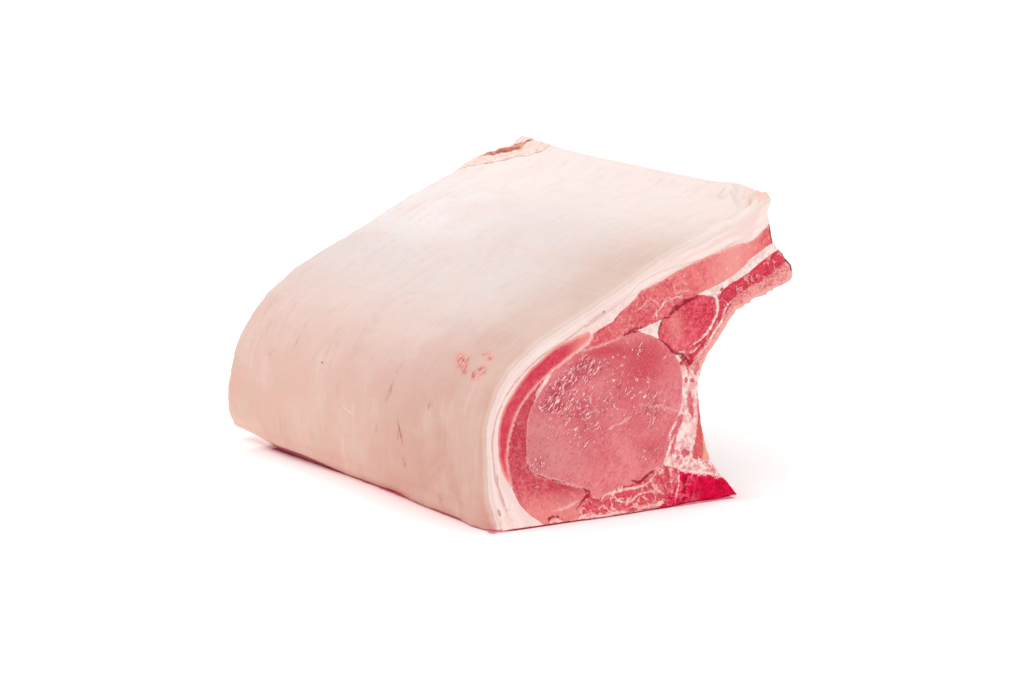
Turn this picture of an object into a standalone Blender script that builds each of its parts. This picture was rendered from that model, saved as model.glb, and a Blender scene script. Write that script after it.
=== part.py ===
"""Bone-in pork loin: a raw joint with rind, back fat, lean muscles, rib bones and a chine bone.

The joint is a thick length of the carcass, and it runs along +Y. Its cut face, the section, is drawn once, in
millimetres, from the rind's bottom corner: x points from the rind to the rib side and z points up from the
table. The seams between the tissues divide that section into regions. Each region is lofted along the length
by the same gentle change of shape, so neighbours keep an even gap between them from end to end.
"""

import math

import bmesh
import bpy
from mathutils import Vector

MM = 0.001

# Driving dimensions, in millimetres
LENGTH = 230.0  # along the back, from one cut face to the other
SEAM_GAP = 0.4  # between two neighbouring tissues
STEP = 6.0  # spacing of the points along a seam
STATION_Y = [0, 12, 24, 38, 76, 115, 153, 192, LENGTH]  # the shape is set here and is straight between

RIB_COUNT = 8
RIB_PITCH = 31.0
RIB_WIDTH = 12.0
RIB_SAMPLES = 24  # points along a rib
RIB_CLEARANCE = 0.4  # between a rib's flank and the meat beside it
GROOVE_FLANK = 0.4  # length over which a groove in the rib wall reaches its depth
MEAT_BETWEEN_RIBS = 0.12  # how far the meat lies back between the ribs, as a share of the rib's depth

DISC_WAIST = 2.0  # how much narrower the chine is at a disc than at a vertebra

FLAP_REACH = 10.0  # how much further the rind reaches over the flap behind its trimmed front corner
BACK_BULGE = 12.9  # how far the rind side swells out at the back end
CORNER_HUMP = 4.5  # how high the back corner rises over the flap, where the rind is trimmed off
HEEL_LIFT = 1.0  # how far the rind's bottom edge lifts off the table at the back

# Where three tissues or outer faces meet in the section, in millimetres
RIND_HEEL = (1, 0)
RIND_BEND = (22.5, 84)
RIND_CORNER = (147, 140)
FLAP_TOP = (149, 126.5)
BAND_TOP = (151.5, 117.5)
BAND_FOOT = (154.5, 114.5)
CAP_TIP = (53, 86.5)
CAP_NECK = (44, 76.5)
CAP_INSIDE = (31.3, 69.5)
CAP_HEEL = (10, 18.3)
EYE_HEEL = (48, 13.5)
EYE_TOE = (91.4, 19)
EYE_BROW = (99.5, 66)
RING_LOW = (96.5, 71)
RING_HIGH = (109.5, 96.5)
WEDGE_LOW = (88.5, 78)
WEDGE_HIGH = (90.5, 87)
WEDGE_TIP = (76, 83.3)
CHINE_TOP = (99.3, 16.5)
CHINE_EDGE = (124, 10)
CHINE_TIP = (133, 0)
FAT_FOOT = (24.5, 0)
BOTTOM_FOOT = (41, 0)
CHINE_FOOT = (86, 0)

# Seams of the section. Each is a smooth curve through its points.
RIND_LOW = [RIND_HEEL, (-3.5, 15), (-5.2, 34), (-5.2, 49), (-1.5, 60.5), (7.5, 73), RIND_BEND]
RIND_HIGH = [
    RIND_BEND, (45, 94.5), (67, 105), (81, 112.5), (94.5, 118.5), (108, 123), (124.5, 128.5), (138.5, 133.5),
    RIND_CORNER,
]
FLAP_FAT_END = [RIND_CORNER, (147, 133), FLAP_TOP]
FLAP_MEAT_END = [FLAP_TOP, BAND_TOP]
BAND_END = [BAND_TOP, BAND_FOOT]
FAT_OVER_FLAP = [
    FLAP_TOP, (139, 119.5), (130, 118), (119, 115), (102, 110), (88, 104.5), (74, 99.5), (66.5, 96),
    (59, 91.5), CAP_TIP,
]
FAT_OVER_CAP = [
    CAP_TIP, (43, 83.5), (32.5, 79.5), (21.5, 72.5), (13.5, 65.5), (8.5, 60), (4.8, 54), (3, 45.5), (2.7, 36),
    (3.7, 30), (5.5, 25), CAP_HEEL,
]
FAT_BESIDE_BOTTOM = [CAP_HEEL, (15, 8.5), FAT_FOOT]
CAP_UNDER_FLAP = [CAP_TIP, (50.5, 81), CAP_NECK]
CAP_ON_EYE = [CAP_NECK, (37, 72.5), CAP_INSIDE]
CAP_ON_BOTTOM = [
    CAP_INSIDE, (24.3, 64.3), (18.7, 59.4), (13.8, 54), (11, 47.5), (9, 40), (8, 32), (8.8, 26), CAP_HEEL,
]
EYE_LEFT = [
    CAP_INSIDE, (25.7, 61.7), (21.5, 56), (18.7, 51), (17.7, 45.5), (17.6, 37.5), (18, 31.5), (19.8, 27),
    (23, 22.8), (33, 19), (43, 15.3), EYE_HEEL,
]
EYE_BOTTOM = [EYE_HEEL, (53.5, 8.5), (59, 9.7), (67, 12), (75.7, 13), (83.5, 17), EYE_TOE]
EYE_RIGHT = [EYE_TOE, (92.7, 27.5), (95, 34), (98, 39.5), (101, 46), (101.5, 54), (101, 61), EYE_BROW]
EYE_AT_RING = [EYE_BROW, RING_LOW]
EYE_AT_SIDE = [RING_LOW, (92.3, 75), WEDGE_LOW]
EYE_AT_WEDGE = [WEDGE_LOW, (84, 80), WEDGE_TIP]
EYE_AT_FLAP = [WEDGE_TIP, (68.4, 81.5), (58.8, 78.7), (51, 77.4), CAP_NECK]
WEDGE_AT_SIDE = [WEDGE_LOW, (88.3, 82.5), WEDGE_HIGH]
WEDGE_AT_FLAP = [WEDGE_HIGH, WEDGE_TIP]
SIDE_AT_FLAP = [WEDGE_HIGH, (96.5, 90.7), (104, 94.3), RING_HIGH]
SIDE_AT_RING = [
    RING_HIGH, (114.5, 95.5), (118.5, 93), (119.3, 89.5), (118, 84.5), (115, 80), (111, 76.5), (106.7, 73.7),
    (101.6, 71.4), RING_LOW,
]
FLAP_AT_BAND = [RING_HIGH, (115.5, 98.5), (122, 100.7), (130, 104.2), (134.5, 107.5), (141, 112.5), BAND_TOP]
WALL_AT_BAND = [
    BAND_FOOT, (148, 111), (141, 106.5), (134.5, 103), (128, 100), (123.5, 97.3), (121.6, 93.5), (121.5, 89),
    (120, 83.5), (117, 78.5), (112.5, 74.6), (107.6, 71.3), (103.5, 69), EYE_BROW,
]
MULTIFIDUS_AT_BOTTOM = [EYE_HEEL, (49.3, 10), (46, 6.3), BOTTOM_FOOT]
MULTIFIDUS_AT_WALL = [EYE_TOE, CHINE_TOP]
MULTIFIDUS_AT_CHINE = [CHINE_TOP, (98, 9), (93, 4), CHINE_FOOT]
WALL_AT_CHINE = [CHINE_TOP, (103, 14.5), (111, 12.5), (118, 11.2), CHINE_EDGE]
CHINE_FACE = [CHINE_EDGE, (128.5, 5.5), CHINE_TIP]
UNDER_CHINE = [CHINE_TIP, CHINE_FOOT]
UNDER_MULTIFIDUS = [CHINE_FOOT, BOTTOM_FOOT]
UNDER_BOTTOM = [BOTTOM_FOOT, FAT_FOOT]
UNDER_FAT = [FAT_FOOT, RIND_HEEL]
# A rib lies between its open side, which faces the chest, and its bed in the rib wall.
RIB_OPEN_SIDE = [
    (117.5, 18), (114, 27.5), (111.4, 40), (110.3, 49), (110.6, 57), (114, 66.5), (120, 74), (124.5, 80),
    (131, 87.5), (141, 92), (151, 95.5), (160, 98.5), (162.5, 101.5),
]
RIB_BED = [
    (110.5, 19), (107.3, 28), (105, 40), (104, 49), (104.2, 58), (107.5, 67), (113.5, 73.5), (119, 80),
    (125, 87), (131, 93.5), (138, 97.5), (148, 101.5), (156, 106), (158.5, 109),
]
RIB_END = (161.5, 105.5)  # the middle of its cut end, at the flap

# Colours, as linear red, green and blue, and roughness
RIND = ((0.82, 0.60, 0.50), 0.45)
FAT = ((0.88, 0.67, 0.60), 0.4)
PALE_LEAN = ((0.72, 0.24, 0.25), 0.35)
LEAN = ((0.72, 0.12, 0.14), 0.35)
DARK_LEAN = ((0.60, 0.05, 0.09), 0.35)
BONE = ((0.72, 0.16, 0.18), 0.5)
MARROW = ((0.55, 0.01, 0.04), 0.4)


def through(a, b, c, d, t):
    """A point on the smooth curve between b and c, which leaves b along a to c and meets c along b to d."""
    t2, t3 = t * t, t * t * t
    return 0.5 * (2 * b + (c - a) * t + (2 * a - 5 * b + 4 * c - d) * t2 + (3 * b - a - 3 * c + d) * t3)


def spans(points):
    """Each stretch of a curve as the four points that shape it, with one more point drawn past each end."""
    p = [Vector(xz) for xz in points]
    p = [2 * p[0] - p[1], *p, 2 * p[-1] - p[-2]]
    return list(zip(p, p[1:], p[2:], p[3:]))


def smooth(points):
    """The smooth curve through these points, sampled about every STEP."""
    curve = []
    for a, b, c, d in spans(points):
        count = max(1, round((c - b).length / STEP))
        curve += [through(a, b, c, d, k / count) for k in range(count)]
    return curve + [Vector(points[-1])]


def sampled(points, count):
    """The same smooth curve as this many points, evenly spread over the points it goes through."""
    stretches = spans(points)
    curve = []
    for k in range(count):
        at = k / (count - 1) * len(stretches)
        stretch = min(int(at), len(stretches) - 1)
        curve.append(through(*stretches[stretch], at - stretch))
    return curve


def chain(*seams):
    """Seams laid end to end. One that starts where the last one doesn't end is turned round."""
    points = smooth(seams[0])
    for seam in seams[1:]:
        curve = smooth(seam)
        if (curve[0] - points[-1]).length > (curve[-1] - points[-1]).length:
            curve.reverse()
        points += curve[1:]
    return points


def signed_area(points):
    return sum(a.cross(b) for a, b in zip(points, points[1:] + points[:1])) / 2


def inset(points, by):
    """The closed outline, counterclockwise and drawn in by this much, except where it lies on the table."""
    MOST_MITRE = 2.5  # how many times further than the sides a sharp corner may move
    if signed_area(points) < 0:
        points = points[::-1]
    moved = []
    for before, here, after in zip(points[-1:] + points[:-1], points, points[1:] + points[:1]):
        one, two = (here - before).normalized(), (after - here).normalized()
        inward = Vector((-one.y - two.y, one.x + two.x))
        there = here + inward * (by / max(1 + one.dot(two), 2 / MOST_MITRE ** 2))
        moved.append(Vector((there.x, 0.0)) if here.y <= 0 else there)
    return moved


def ramp(low, high, value):
    """0 below low and 1 above high, with a smooth rise between."""
    t = min(max((value - low) / (high - low), 0.0), 1.0)
    return t * t * (3 - 2 * t)


def shaped(point, y):
    """Where a point of the section lies at a station, in millimetres."""
    RIND_SIDE = 60.0  # width of the side that bulges
    FLAP_SIDE = 150.0  # x at which the flap's reach is full
    FAT_WIDTH = 24.0  # width of the heel that lifts
    HUMP_CENTRE, HUMP_INWARD, HUMP_OUTWARD = 129.0, 24.0, 22.0
    x, z = point
    t = y / LENGTH
    reach = FLAP_REACH * ramp(0.0, 0.16, t) * max(x / FLAP_SIDE, 0) ** 3 * ramp(98, 135, z)
    low_down = (1 - math.exp(-z / 3)) * math.exp(-((z / 52) ** 3))
    bulge = BACK_BULGE * t ** 1.5 * low_down * max(0.0, 1 - max(x, 0) / RIND_SIDE)
    hump_width = HUMP_INWARD if x < HUMP_CENTRE else HUMP_OUTWARD
    hump = CORNER_HUMP * ramp(0.8, 1.0, t) * ramp(60, 110, z) * math.exp(-(((x - HUMP_CENTRE) / hump_width) ** 2))
    lift = HEEL_LIFT * ramp(0.7, 1.0, t) * max(0.0, 1 - max(x, 0) / FAT_WIDTH) * math.exp(-z / 12)
    return Vector((x + reach - bulge, y, z + hump + lift))


def placed(point, y):
    """Where a point of the section lies at any distance along the length: straight between the stations."""
    after = next(k for k in range(1, len(STATION_Y)) if y <= STATION_Y[k])
    front, back = STATION_Y[after - 1], STATION_Y[after]
    return shaped(point, front).lerp(shaped(point, back), (y - front) / (back - front))


def material(name, colour, roughness):
    made = bpy.data.materials.new(name)
    made.use_nodes = True
    shader = made.node_tree.nodes["Principled BSDF"]
    shader.inputs["Base Color"].default_value = (*colour, 1)
    shader.inputs["Roughness"].default_value = roughness
    shader.inputs["Metallic"].default_value = 0.0
    return made


def solid(name, rings, finish):
    """One closed solid from rings, each a list of section points and its y, capped at both ends."""
    bm = bmesh.new()
    loops = [[bm.verts.new(placed(p, y) * MM) for p in points] for points, y in rings]
    for here, there in zip(loops, loops[1:]):
        for k in range(len(here)):
            n = (k + 1) % len(here)
            bm.faces.new((here[k], there[k], there[n], here[n]))
    bm.faces.new(loops[0])
    bm.faces.new(loops[-1][::-1])
    bmesh.ops.recalc_face_normals(bm, faces=bm.faces)
    mesh = bpy.data.meshes.new(name)
    bm.to_mesh(mesh)
    bm.free()
    mesh.shade_smooth()
    mesh.set_sharp_from_angle(angle=math.radians(30))
    mesh.materials.append(material(name, *finish))
    bpy.context.scene.collection.objects.link(bpy.data.objects.new(name, mesh))


def tissue(name, finish, *seams):
    """A tissue that runs the whole length between these seams, which close an outline."""
    ring = inset(chain(*seams)[:-1], SEAM_GAP / 2)
    solid(name, [(ring, y) for y in STATION_Y], finish)


def rib_wall():
    """The wall of meat on the chest side. A groove crosses it at each rib, down to the rib's bed."""
    hidden_side = chain(WALL_AT_BAND, EYE_RIGHT, MULTIFIDUS_AT_WALL, WALL_AT_CHINE)
    open_side = [*sampled(RIB_OPEN_SIDE, RIB_SAMPLES), Vector(RIB_END)]
    past_bed = Vector(RIB_BED[-1]).lerp(Vector(BAND_FOOT), 0.5)
    bed = [*sampled(RIB_BED, RIB_SAMPLES), past_bed]

    def ring(depth):
        return inset(hidden_side + [a.lerp(b, depth) for a, b in zip(open_side, bed)], SEAM_GAP / 2)

    meat, groove = ring(MEAT_BETWEEN_RIBS), ring(1.0)
    half = RIB_WIDTH / 2 + RIB_CLEARANCE
    rings = [(groove, 0.0), (groove, half), (meat, half + GROOVE_FLANK)]
    for centre in [k * RIB_PITCH for k in range(1, RIB_COUNT)]:
        rings += [(meat, centre - half - GROOVE_FLANK), (groove, centre - half)]
        rings += [(groove, centre + half), (meat, centre + half + GROOVE_FLANK)]
    solid("rib_wall", [*rings, (meat, LENGTH)], LEAN)


def rib(index):
    """One rib, a flat curved bar. The front cut splits the first, so only its back half is here."""
    bar = [*sampled(RIB_OPEN_SIDE, RIB_SAMPLES), Vector(RIB_END), *sampled(RIB_BED, RIB_SAMPLES)[::-1]]
    ring = inset(bar, SEAM_GAP / 2)
    centre = index * RIB_PITCH
    ends = [max(0.0, centre - RIB_WIDTH / 2), centre + RIB_WIDTH / 2]
    solid(f"rib_{index + 1}", [(ring, y) for y in ends], BONE)


def chine():
    """The split backbone: one vertebra for each rib, with a waist at the disc between two of them."""
    WAIST_FROM, WAIST_FULL = 112.0, 133.0  # x where the waist starts and where it has its depth
    vertebra = inset(chain(WALL_AT_CHINE, CHINE_FACE, UNDER_CHINE, MULTIFIDUS_AT_CHINE)[:-1], SEAM_GAP / 2)
    disc = [Vector((x - DISC_WAIST * ramp(WAIST_FROM, WAIST_FULL, x), z)) for x, z in vertebra]
    rings = [((vertebra, disc)[k % 2], k * RIB_PITCH / 2) for k in range(2 * RIB_COUNT - 1)]
    solid("chine_bone", [*rings, (disc, LENGTH)], MARROW)


def stand_on_origin():
    """Moves everything so that the origin is at the middle of the box round the joint, at table height."""
    corners = [vertex.co for obj in bpy.data.objects for vertex in obj.data.vertices]
    low = Vector(min(corner[k] for corner in corners) for k in range(3))
    high = Vector(max(corner[k] for corner in corners) for k in range(3))
    middle = (low + high) / 2
    for obj in bpy.data.objects:
        obj.location = (-middle.x, -middle.y, -low.z)


def main():
    for obj in list(bpy.data.objects):
        bpy.data.objects.remove(obj)
    tissue(
        "back_fat", RIND, RIND_LOW, RIND_HIGH, FLAP_FAT_END, FAT_OVER_FLAP, FAT_OVER_CAP, FAT_BESIDE_BOTTOM,
        UNDER_FAT,
    )
    tissue("cap_muscle", DARK_LEAN, FAT_OVER_CAP, CAP_ON_BOTTOM, CAP_ON_EYE, CAP_UNDER_FLAP)
    tissue(
        "bottom_muscle", LEAN, CAP_ON_BOTTOM, FAT_BESIDE_BOTTOM, UNDER_BOTTOM, MULTIFIDUS_AT_BOTTOM, EYE_LEFT,
    )
    tissue(
        "loin_eye", PALE_LEAN, EYE_LEFT, EYE_BOTTOM, EYE_RIGHT, EYE_AT_RING, EYE_AT_SIDE, EYE_AT_WEDGE,
        EYE_AT_FLAP, CAP_ON_EYE,
    )
    tissue(
        "flap_muscle", LEAN, FAT_OVER_FLAP, CAP_UNDER_FLAP, EYE_AT_FLAP, WEDGE_AT_FLAP, SIDE_AT_FLAP,
        FLAP_AT_BAND, FLAP_MEAT_END,
    )
    tissue("side_muscle", DARK_LEAN, SIDE_AT_FLAP, SIDE_AT_RING, EYE_AT_SIDE, WEDGE_AT_SIDE)
    tissue("fat_wedge", FAT, EYE_AT_WEDGE, WEDGE_AT_FLAP, WEDGE_AT_SIDE)
    tissue("inner_fat", FAT, FLAP_AT_BAND, BAND_END, WALL_AT_BAND, EYE_AT_RING, SIDE_AT_RING)
    tissue(
        "multifidus", LEAN, EYE_BOTTOM, MULTIFIDUS_AT_WALL, MULTIFIDUS_AT_CHINE, UNDER_MULTIFIDUS,
        MULTIFIDUS_AT_BOTTOM,
    )
    rib_wall()
    chine()
    for index in range(RIB_COUNT):
        rib(index)
    stand_on_origin()


main()
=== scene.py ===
"""The looks of the bone-in pork loin: fine cut faces, rind, lining, ribs, materials, floor, light and camera.

Lengths are in millimetres until warp() gives a point its place in the row frame, in metres. The section is
the joint's cut face, drawn as in the CAD model: x runs from the rind to the rib side, z up from the table,
and y along the length from the cut face that the photograph shows. Every piece is a region of the section
run along the length, and one warp() shapes them all, so neighbours stay together.
"""

import math

import bpy
import numpy as np
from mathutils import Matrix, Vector
from mathutils.geometry import delaunay_2d_cdt


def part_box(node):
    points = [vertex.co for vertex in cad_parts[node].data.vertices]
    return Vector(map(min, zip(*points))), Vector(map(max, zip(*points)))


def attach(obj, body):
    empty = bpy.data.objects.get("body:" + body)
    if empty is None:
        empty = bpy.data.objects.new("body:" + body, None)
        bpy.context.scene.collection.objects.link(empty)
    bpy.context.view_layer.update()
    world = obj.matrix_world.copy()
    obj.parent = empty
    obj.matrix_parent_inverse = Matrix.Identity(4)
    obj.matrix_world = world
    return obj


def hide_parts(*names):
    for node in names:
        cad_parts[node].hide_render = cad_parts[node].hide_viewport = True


MM = 0.001

# The joint, in millimetres
LENGTH = 230.0
SEAM_GAP = 0.4
RIB_COUNT = 8
RIB_PITCH = 31.0
RIB_WIDTH = 12.0
MEAT_BETWEEN_RIBS = 0.12  # how far the meat lies back between the ribs, as a share of the rib's depth
DISC_WAIST = 2.0
FLAP_REACH = 10.0
BACK_BULGE = 12.9
CORNER_HUMP = 4.8
HEEL_LIFT = 1.0
HEEL_CURL = 3.2
HEEL_TUCK = 2.2
RIND_THICKNESS = 2.2

# Mesh spacing, in millimetres
FINE = 0.8  # points along a seam
GRAIN = 0.55  # points on a cut face
RIB_SAMPLES = 150  # points along a rib
CUT_STEPS = [0.15, 0.4, 0.8, 1.3, 2.2, 3.6]  # stations close to a cut face
CUT_ROUNDING = 1.1  # radius of the edge between a cut face and an outer face
RIND_ROUNDING = 1.9  # and where the outer face is the rind
SEAM_WOBBLE = 0.28  # how far a seam strays from its smooth curve
SHARP_ANGLE = 62  # edges sharper than this many degrees aren't smoothed

WORLD_LIGHT = 0.86
TOP_LIGHT = 0.9
FLOOR_GLOW = (0.08, 0.14, 0.14, 1)  # evens out the red light that the meat throws on the floor
NEAR_GLOW = (0.13, 0.03, 0.035, 1)  # painted red light near the joint, over the floor's tinge for juice and painted reflection
UNDER_GLOW = (0.07, 0.0, 0.01, 1)  # painted red light under the joint, in its contact shadow
HEEL_GLOW = (0.4, 0.33, 0.33, 1)  # painted light under the lifted far end of the heel, which lightens the shadow there
FOOT_BULGE = 4.4  # how far the foot bows out towards the back
FOOT_LOW, FOOT_HIGH = (-2.5, -4.5), (128, 200)  # what the joint covers of the floor, in the section's x and y
GLOW_RISE = 24  # how far from there the glow is full
TINGE_REACH = 5  # how far from there the floor is tinged, for juice and as a painted reflection of the joint's red underside

# The camera. Its place is in millimetres, measured as the section's points are.
CAMERA_PLACE = (-735.35, -1220.91, 357.64)
CAMERA_AZIMUTH = -31.4
CAMERA_DOWN = 10.8
CAMERA_LENS = 116.0

# Where three tissues or outer faces meet in the section
RIND_HEEL = (1, 0)
RIND_HEEL_INSIDE = (3.4, 0)
RIND_BEND = (22.5, 84)
RIND_CORNER = (147, 140)
RIND_CORNER_INSIDE = (147, 137.6)
FLAP_TOP = (149, 126.5)
BAND_TOP = (151.5, 117.5)
BAND_FOOT = (154.5, 114.5)
CAP_TIP = (53, 86.5)
CAP_NECK = (44, 76.5)
CAP_INSIDE = (31.3, 69.5)
CAP_HEEL = (10, 18.3)
EYE_HEEL = (48, 13.5)
EYE_TOE = (91.4, 19)
EYE_BROW = (99.5, 66)
RING_LOW = (96.5, 71)
RING_HIGH = (109.5, 96.5)
WEDGE_LOW = (88.5, 78)
WEDGE_HIGH = (90.5, 87)
WEDGE_TIP = (76, 83.3)
CHINE_TOP = (99.3, 16.5)
CHINE_EDGE = (124, 10)
CHINE_TIP = (133, 0)
FAT_FOOT = (24.5, 0)
BOTTOM_FOOT = (41, 0)
CHINE_FOOT = (86, 0)

# Seams of the section. Each is a smooth curve through its points.
RIND_LOW = [RIND_HEEL, (-3.5, 15), (-5.2, 34), (-5.2, 49), (-1.5, 60.5), (7.5, 73), RIND_BEND]
RIND_HIGH = [
    RIND_BEND, (45, 94.5), (67, 105), (81, 112.5), (94.5, 118.5), (108, 123), (124.5, 128.5), (138.5, 133.5),
    RIND_CORNER,
]
RIND_END = [RIND_CORNER, RIND_CORNER_INSIDE]
FLAP_FAT_END = [RIND_CORNER_INSIDE, (147, 133), FLAP_TOP]
FLAP_MEAT_END = [FLAP_TOP, BAND_TOP]
BAND_END = [BAND_TOP, BAND_FOOT]
FAT_OVER_FLAP = [
    FLAP_TOP, (139, 119.5), (130, 118), (119, 115), (102, 110), (88, 104.5), (74, 99.5), (66.5, 96),
    (59, 91.5), CAP_TIP,
]
FAT_OVER_CAP = [
    CAP_TIP, (43, 83.5), (32.5, 79.5), (21.5, 72.5), (13.5, 65.5), (8.5, 60), (4.8, 54), (3, 45.5), (2.7, 36),
    (3.7, 30), (5.5, 25), CAP_HEEL,
]
FAT_BESIDE_BOTTOM = [CAP_HEEL, (15, 8.5), FAT_FOOT]
CAP_UNDER_FLAP = [CAP_TIP, (50.5, 81), CAP_NECK]
CAP_ON_EYE = [CAP_NECK, (37, 72.5), CAP_INSIDE]
CAP_ON_BOTTOM = [
    CAP_INSIDE, (24.3, 64.3), (18.7, 59.4), (13.8, 54), (11, 47.5), (9, 40), (8, 32), (8.8, 26), CAP_HEEL,
]
EYE_LEFT = [
    CAP_INSIDE, (25.7, 61.7), (21.5, 56), (18.7, 51), (17.7, 45.5), (17.6, 37.5), (18, 31.5), (19.8, 27),
    (23, 22.8), (33, 19), (43, 15.3), EYE_HEEL,
]
EYE_BOTTOM = [EYE_HEEL, (53.5, 8.5), (59, 9.7), (67, 12), (75.7, 13), (83.5, 17), EYE_TOE]
EYE_RIGHT = [EYE_TOE, (92.7, 27.5), (95, 34), (98, 39.5), (101, 46), (101.5, 54), (101, 61), EYE_BROW]
EYE_AT_RING = [EYE_BROW, RING_LOW]
EYE_AT_SIDE = [RING_LOW, (92.3, 75), WEDGE_LOW]
EYE_AT_WEDGE = [WEDGE_LOW, (84, 80), WEDGE_TIP]
EYE_AT_FLAP = [WEDGE_TIP, (68.4, 81.5), (58.8, 78.7), (51, 77.4), CAP_NECK]
WEDGE_AT_SIDE = [WEDGE_LOW, (88.3, 82.5), WEDGE_HIGH]
WEDGE_AT_FLAP = [WEDGE_HIGH, WEDGE_TIP]
SIDE_AT_FLAP = [WEDGE_HIGH, (96.5, 90.7), (104, 94.3), RING_HIGH]
SIDE_AT_RING = [
    RING_HIGH, (114.5, 95.5), (118.5, 93), (119.3, 89.5), (118, 84.5), (115, 80), (111, 76.5), (106.7, 73.7),
    (101.6, 71.4), RING_LOW,
]
FLAP_AT_BAND = [RING_HIGH, (115.5, 98.5), (122, 100.7), (130, 104.2), (134.5, 107.5), (141, 112.5), BAND_TOP]
WALL_AT_BAND = [
    BAND_FOOT, (148, 111), (141, 106.5), (134.5, 103), (128, 100), (123.5, 97.3), (121.6, 93.5), (121.5, 89),
    (120, 83.5), (117, 78.5), (112.5, 74.6), (107.6, 71.3), (103.5, 69), EYE_BROW,
]
MULTIFIDUS_AT_BOTTOM = [EYE_HEEL, (49.3, 10), (46, 6.3), BOTTOM_FOOT]
MULTIFIDUS_AT_WALL = [EYE_TOE, CHINE_TOP]
MULTIFIDUS_AT_CHINE = [CHINE_TOP, (98, 9), (93, 4), CHINE_FOOT]
WALL_AT_CHINE = [CHINE_TOP, (103, 14.5), (111, 12.5), (118, 11.2), CHINE_EDGE]
CHINE_FACE = [CHINE_EDGE, (128.5, 5.5), CHINE_TIP]
UNDER_CHINE = [CHINE_TIP, CHINE_FOOT]
UNDER_MULTIFIDUS = [CHINE_FOOT, BOTTOM_FOOT]
UNDER_BOTTOM = [BOTTOM_FOOT, FAT_FOOT]
UNDER_FAT = [FAT_FOOT, RIND_HEEL_INSIDE]
UNDER_RIND = [RIND_HEEL_INSIDE, RIND_HEEL]
RIB_OPEN_SIDE = [
    (117.5, 18), (114, 27.5), (111.4, 40), (110.3, 49), (110.6, 57), (114, 66.5), (120, 74), (124.5, 80),
    (131, 87.5), (141, 92), (151, 95.5), (160, 98.5), (162.5, 101.5),
]
RIB_BED = [
    (110.5, 19), (107.3, 28), (105, 40), (104, 49), (104.2, 58), (107.5, 67), (113.5, 73.5), (119, 80),
    (125, 87), (131, 93.5), (138, 97.5), (148, 101.5), (156, 106), (158.5, 109),
]
RIB_END = (161.5, 105.5)
RIB_FOOT = [(119.3, 16.6), (117.6, 17.7), (113.5, 18.3)]  # the fat under the split rib
MEAT_FOOT = [(121.8, 13), (119.8, 15.6), (118.1, 17.3)]  # and behind it


def lines_from(text):
    """Lines as (points, half width), from text that gives each line's half width and then its points."""
    result = []
    for word in text.split():
        if "," in word:
            result[-1][0].append(tuple(float(v) for v in word.split(",")))
        else:
            result.append(([], float(word)))
    return result


# Lines on the cut face, as x and z. A line tapers towards its ends.
WHITE_LINES = lines_from("""
    0.9 31.3,69.5 28.5,66 25,61.8 22,56.5
    0.3 133.5,96.5 130.5,93.3 125.3,89.2 123.1,83.6 117.6,77.1 114.2,71.8 107.5,67.3
    0.3 104.2,69.8 107.5,70.8 110.5,73
    0.28 85.3,87.3 87.1,87.8 86.6,90.4 89.1,92.2 91.8,94.9 96.5,96.3 101,97
    0.4 99.8,16 99.6,9.5 97.3,4.5 95,0   0.4 99.3,16.5 103,15.1 111,13.3 118,12 123.5,10.8
    0.45 55.5,7.2 58.7,9.6 67.4,10.6 78.3,11 83.7,13 89.2,18   0.35 62,10 64.5,6.5 71,5 76,7.5 84,8
    0.45 27,0.8 30,1.5 33.5,0.8   0.6 38,0.5 46,1.2 55,0.6 63,1.2 70,0.6   0.75 72,0.6 80,1.6 86,1.6 90,3.4
    0.4 91.5,20 94.5,27 97.5,33   0.8 110.3,21 112.5,16.5 117,14.5
    0.55 111,97 116,96.2 119.6,94.3 120.9,90 120.3,86.3 117.5,81.8 113.5,77.6 109.5,74.8 105.5,73
""") + [(CAP_UNDER_FLAP, 0.1)]
SOFT_LINES = lines_from("""
    0.2 44,76.5 51,77.4 58.8,78.7 66,80.6   0.22 78,48.7 85.3,47.1 88.9,47.4 93.5,45.4 100,43.1
    0.35 66.3,40.7 69.9,42.2 73.5,43.8   0.2 61.5,39 65,41   0.3 49.2,47.2 52.8,48.4 55.4,48.8
    0.2 88.4,92.3 87,95 83,97.4   0.15 96.5,102.3 97.5,98.5 101.2,98.8 105.7,99.1   0.1 75,92 80,94.5 82,98
    0.5 84,13 86.5,8.5 90,6   0.5 44,9 38,6.5 31,5.5
""") + [(CAP_ON_BOTTOM, 0.1), (CAP_ON_EYE, 0.45), (CAP_UNDER_FLAP, 0.6), (EYE_LEFT[6:], 0.3)]
RED_LINES = lines_from("""
    0.4 67.5,81.1 72.3,82.6 78.6,82.9   0.3 71.3,82.8 74.5,84 78,84.6
    0.55 88.5,78 92.3,75.3 96.5,71 100.5,70 103.8,66.8 106.7,62.3   0.3 99,69.6 102,66.8 103.6,64
    0.4 94,87.5 90.5,87 88.5,82.5 88.5,78   0.65 92,87.3 97.4,90.9 104,94.1 110,95.9
    0.25 149.4,125 150.6,121 151.6,118   0.4 155.2,113.6 158.4,109.8 161.3,105.6 162.3,102
    -0.2 53.5,83.2 57,85.4 62.9,87.8 65.5,90.3   0.2 93,89.4 98,92.8 103.5,95.3
    0.25 48,13.5 48.6,10.5 46,8 42.6,5   0.3 26.8,0.6 27.4,2.4 30,3.1 32.8,2.6 34,1.3
    0.35 47.2,13.8 50.5,11.3 47.2,8.8 43.2,5.4   0.5 73.5,14.2 77.6,13 81.7,15 86,17.3
    0.12 19.3,29 21.9,23.8 27,21 33,18.8 38.5,17.2
""") + [([(24.5, 60), *EYE_LEFT[2:7]], -0.15)]
# Above this line, drawn as x and z, the left end of the flap is fat.
FLAP_START = [(51, 52.1, 55.3, 62.9, 67.1, 70.7, 76, 150), (81, 83.8, 85.3, 88.2, 92.4, 94.5, 98.6, 200)]
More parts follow.
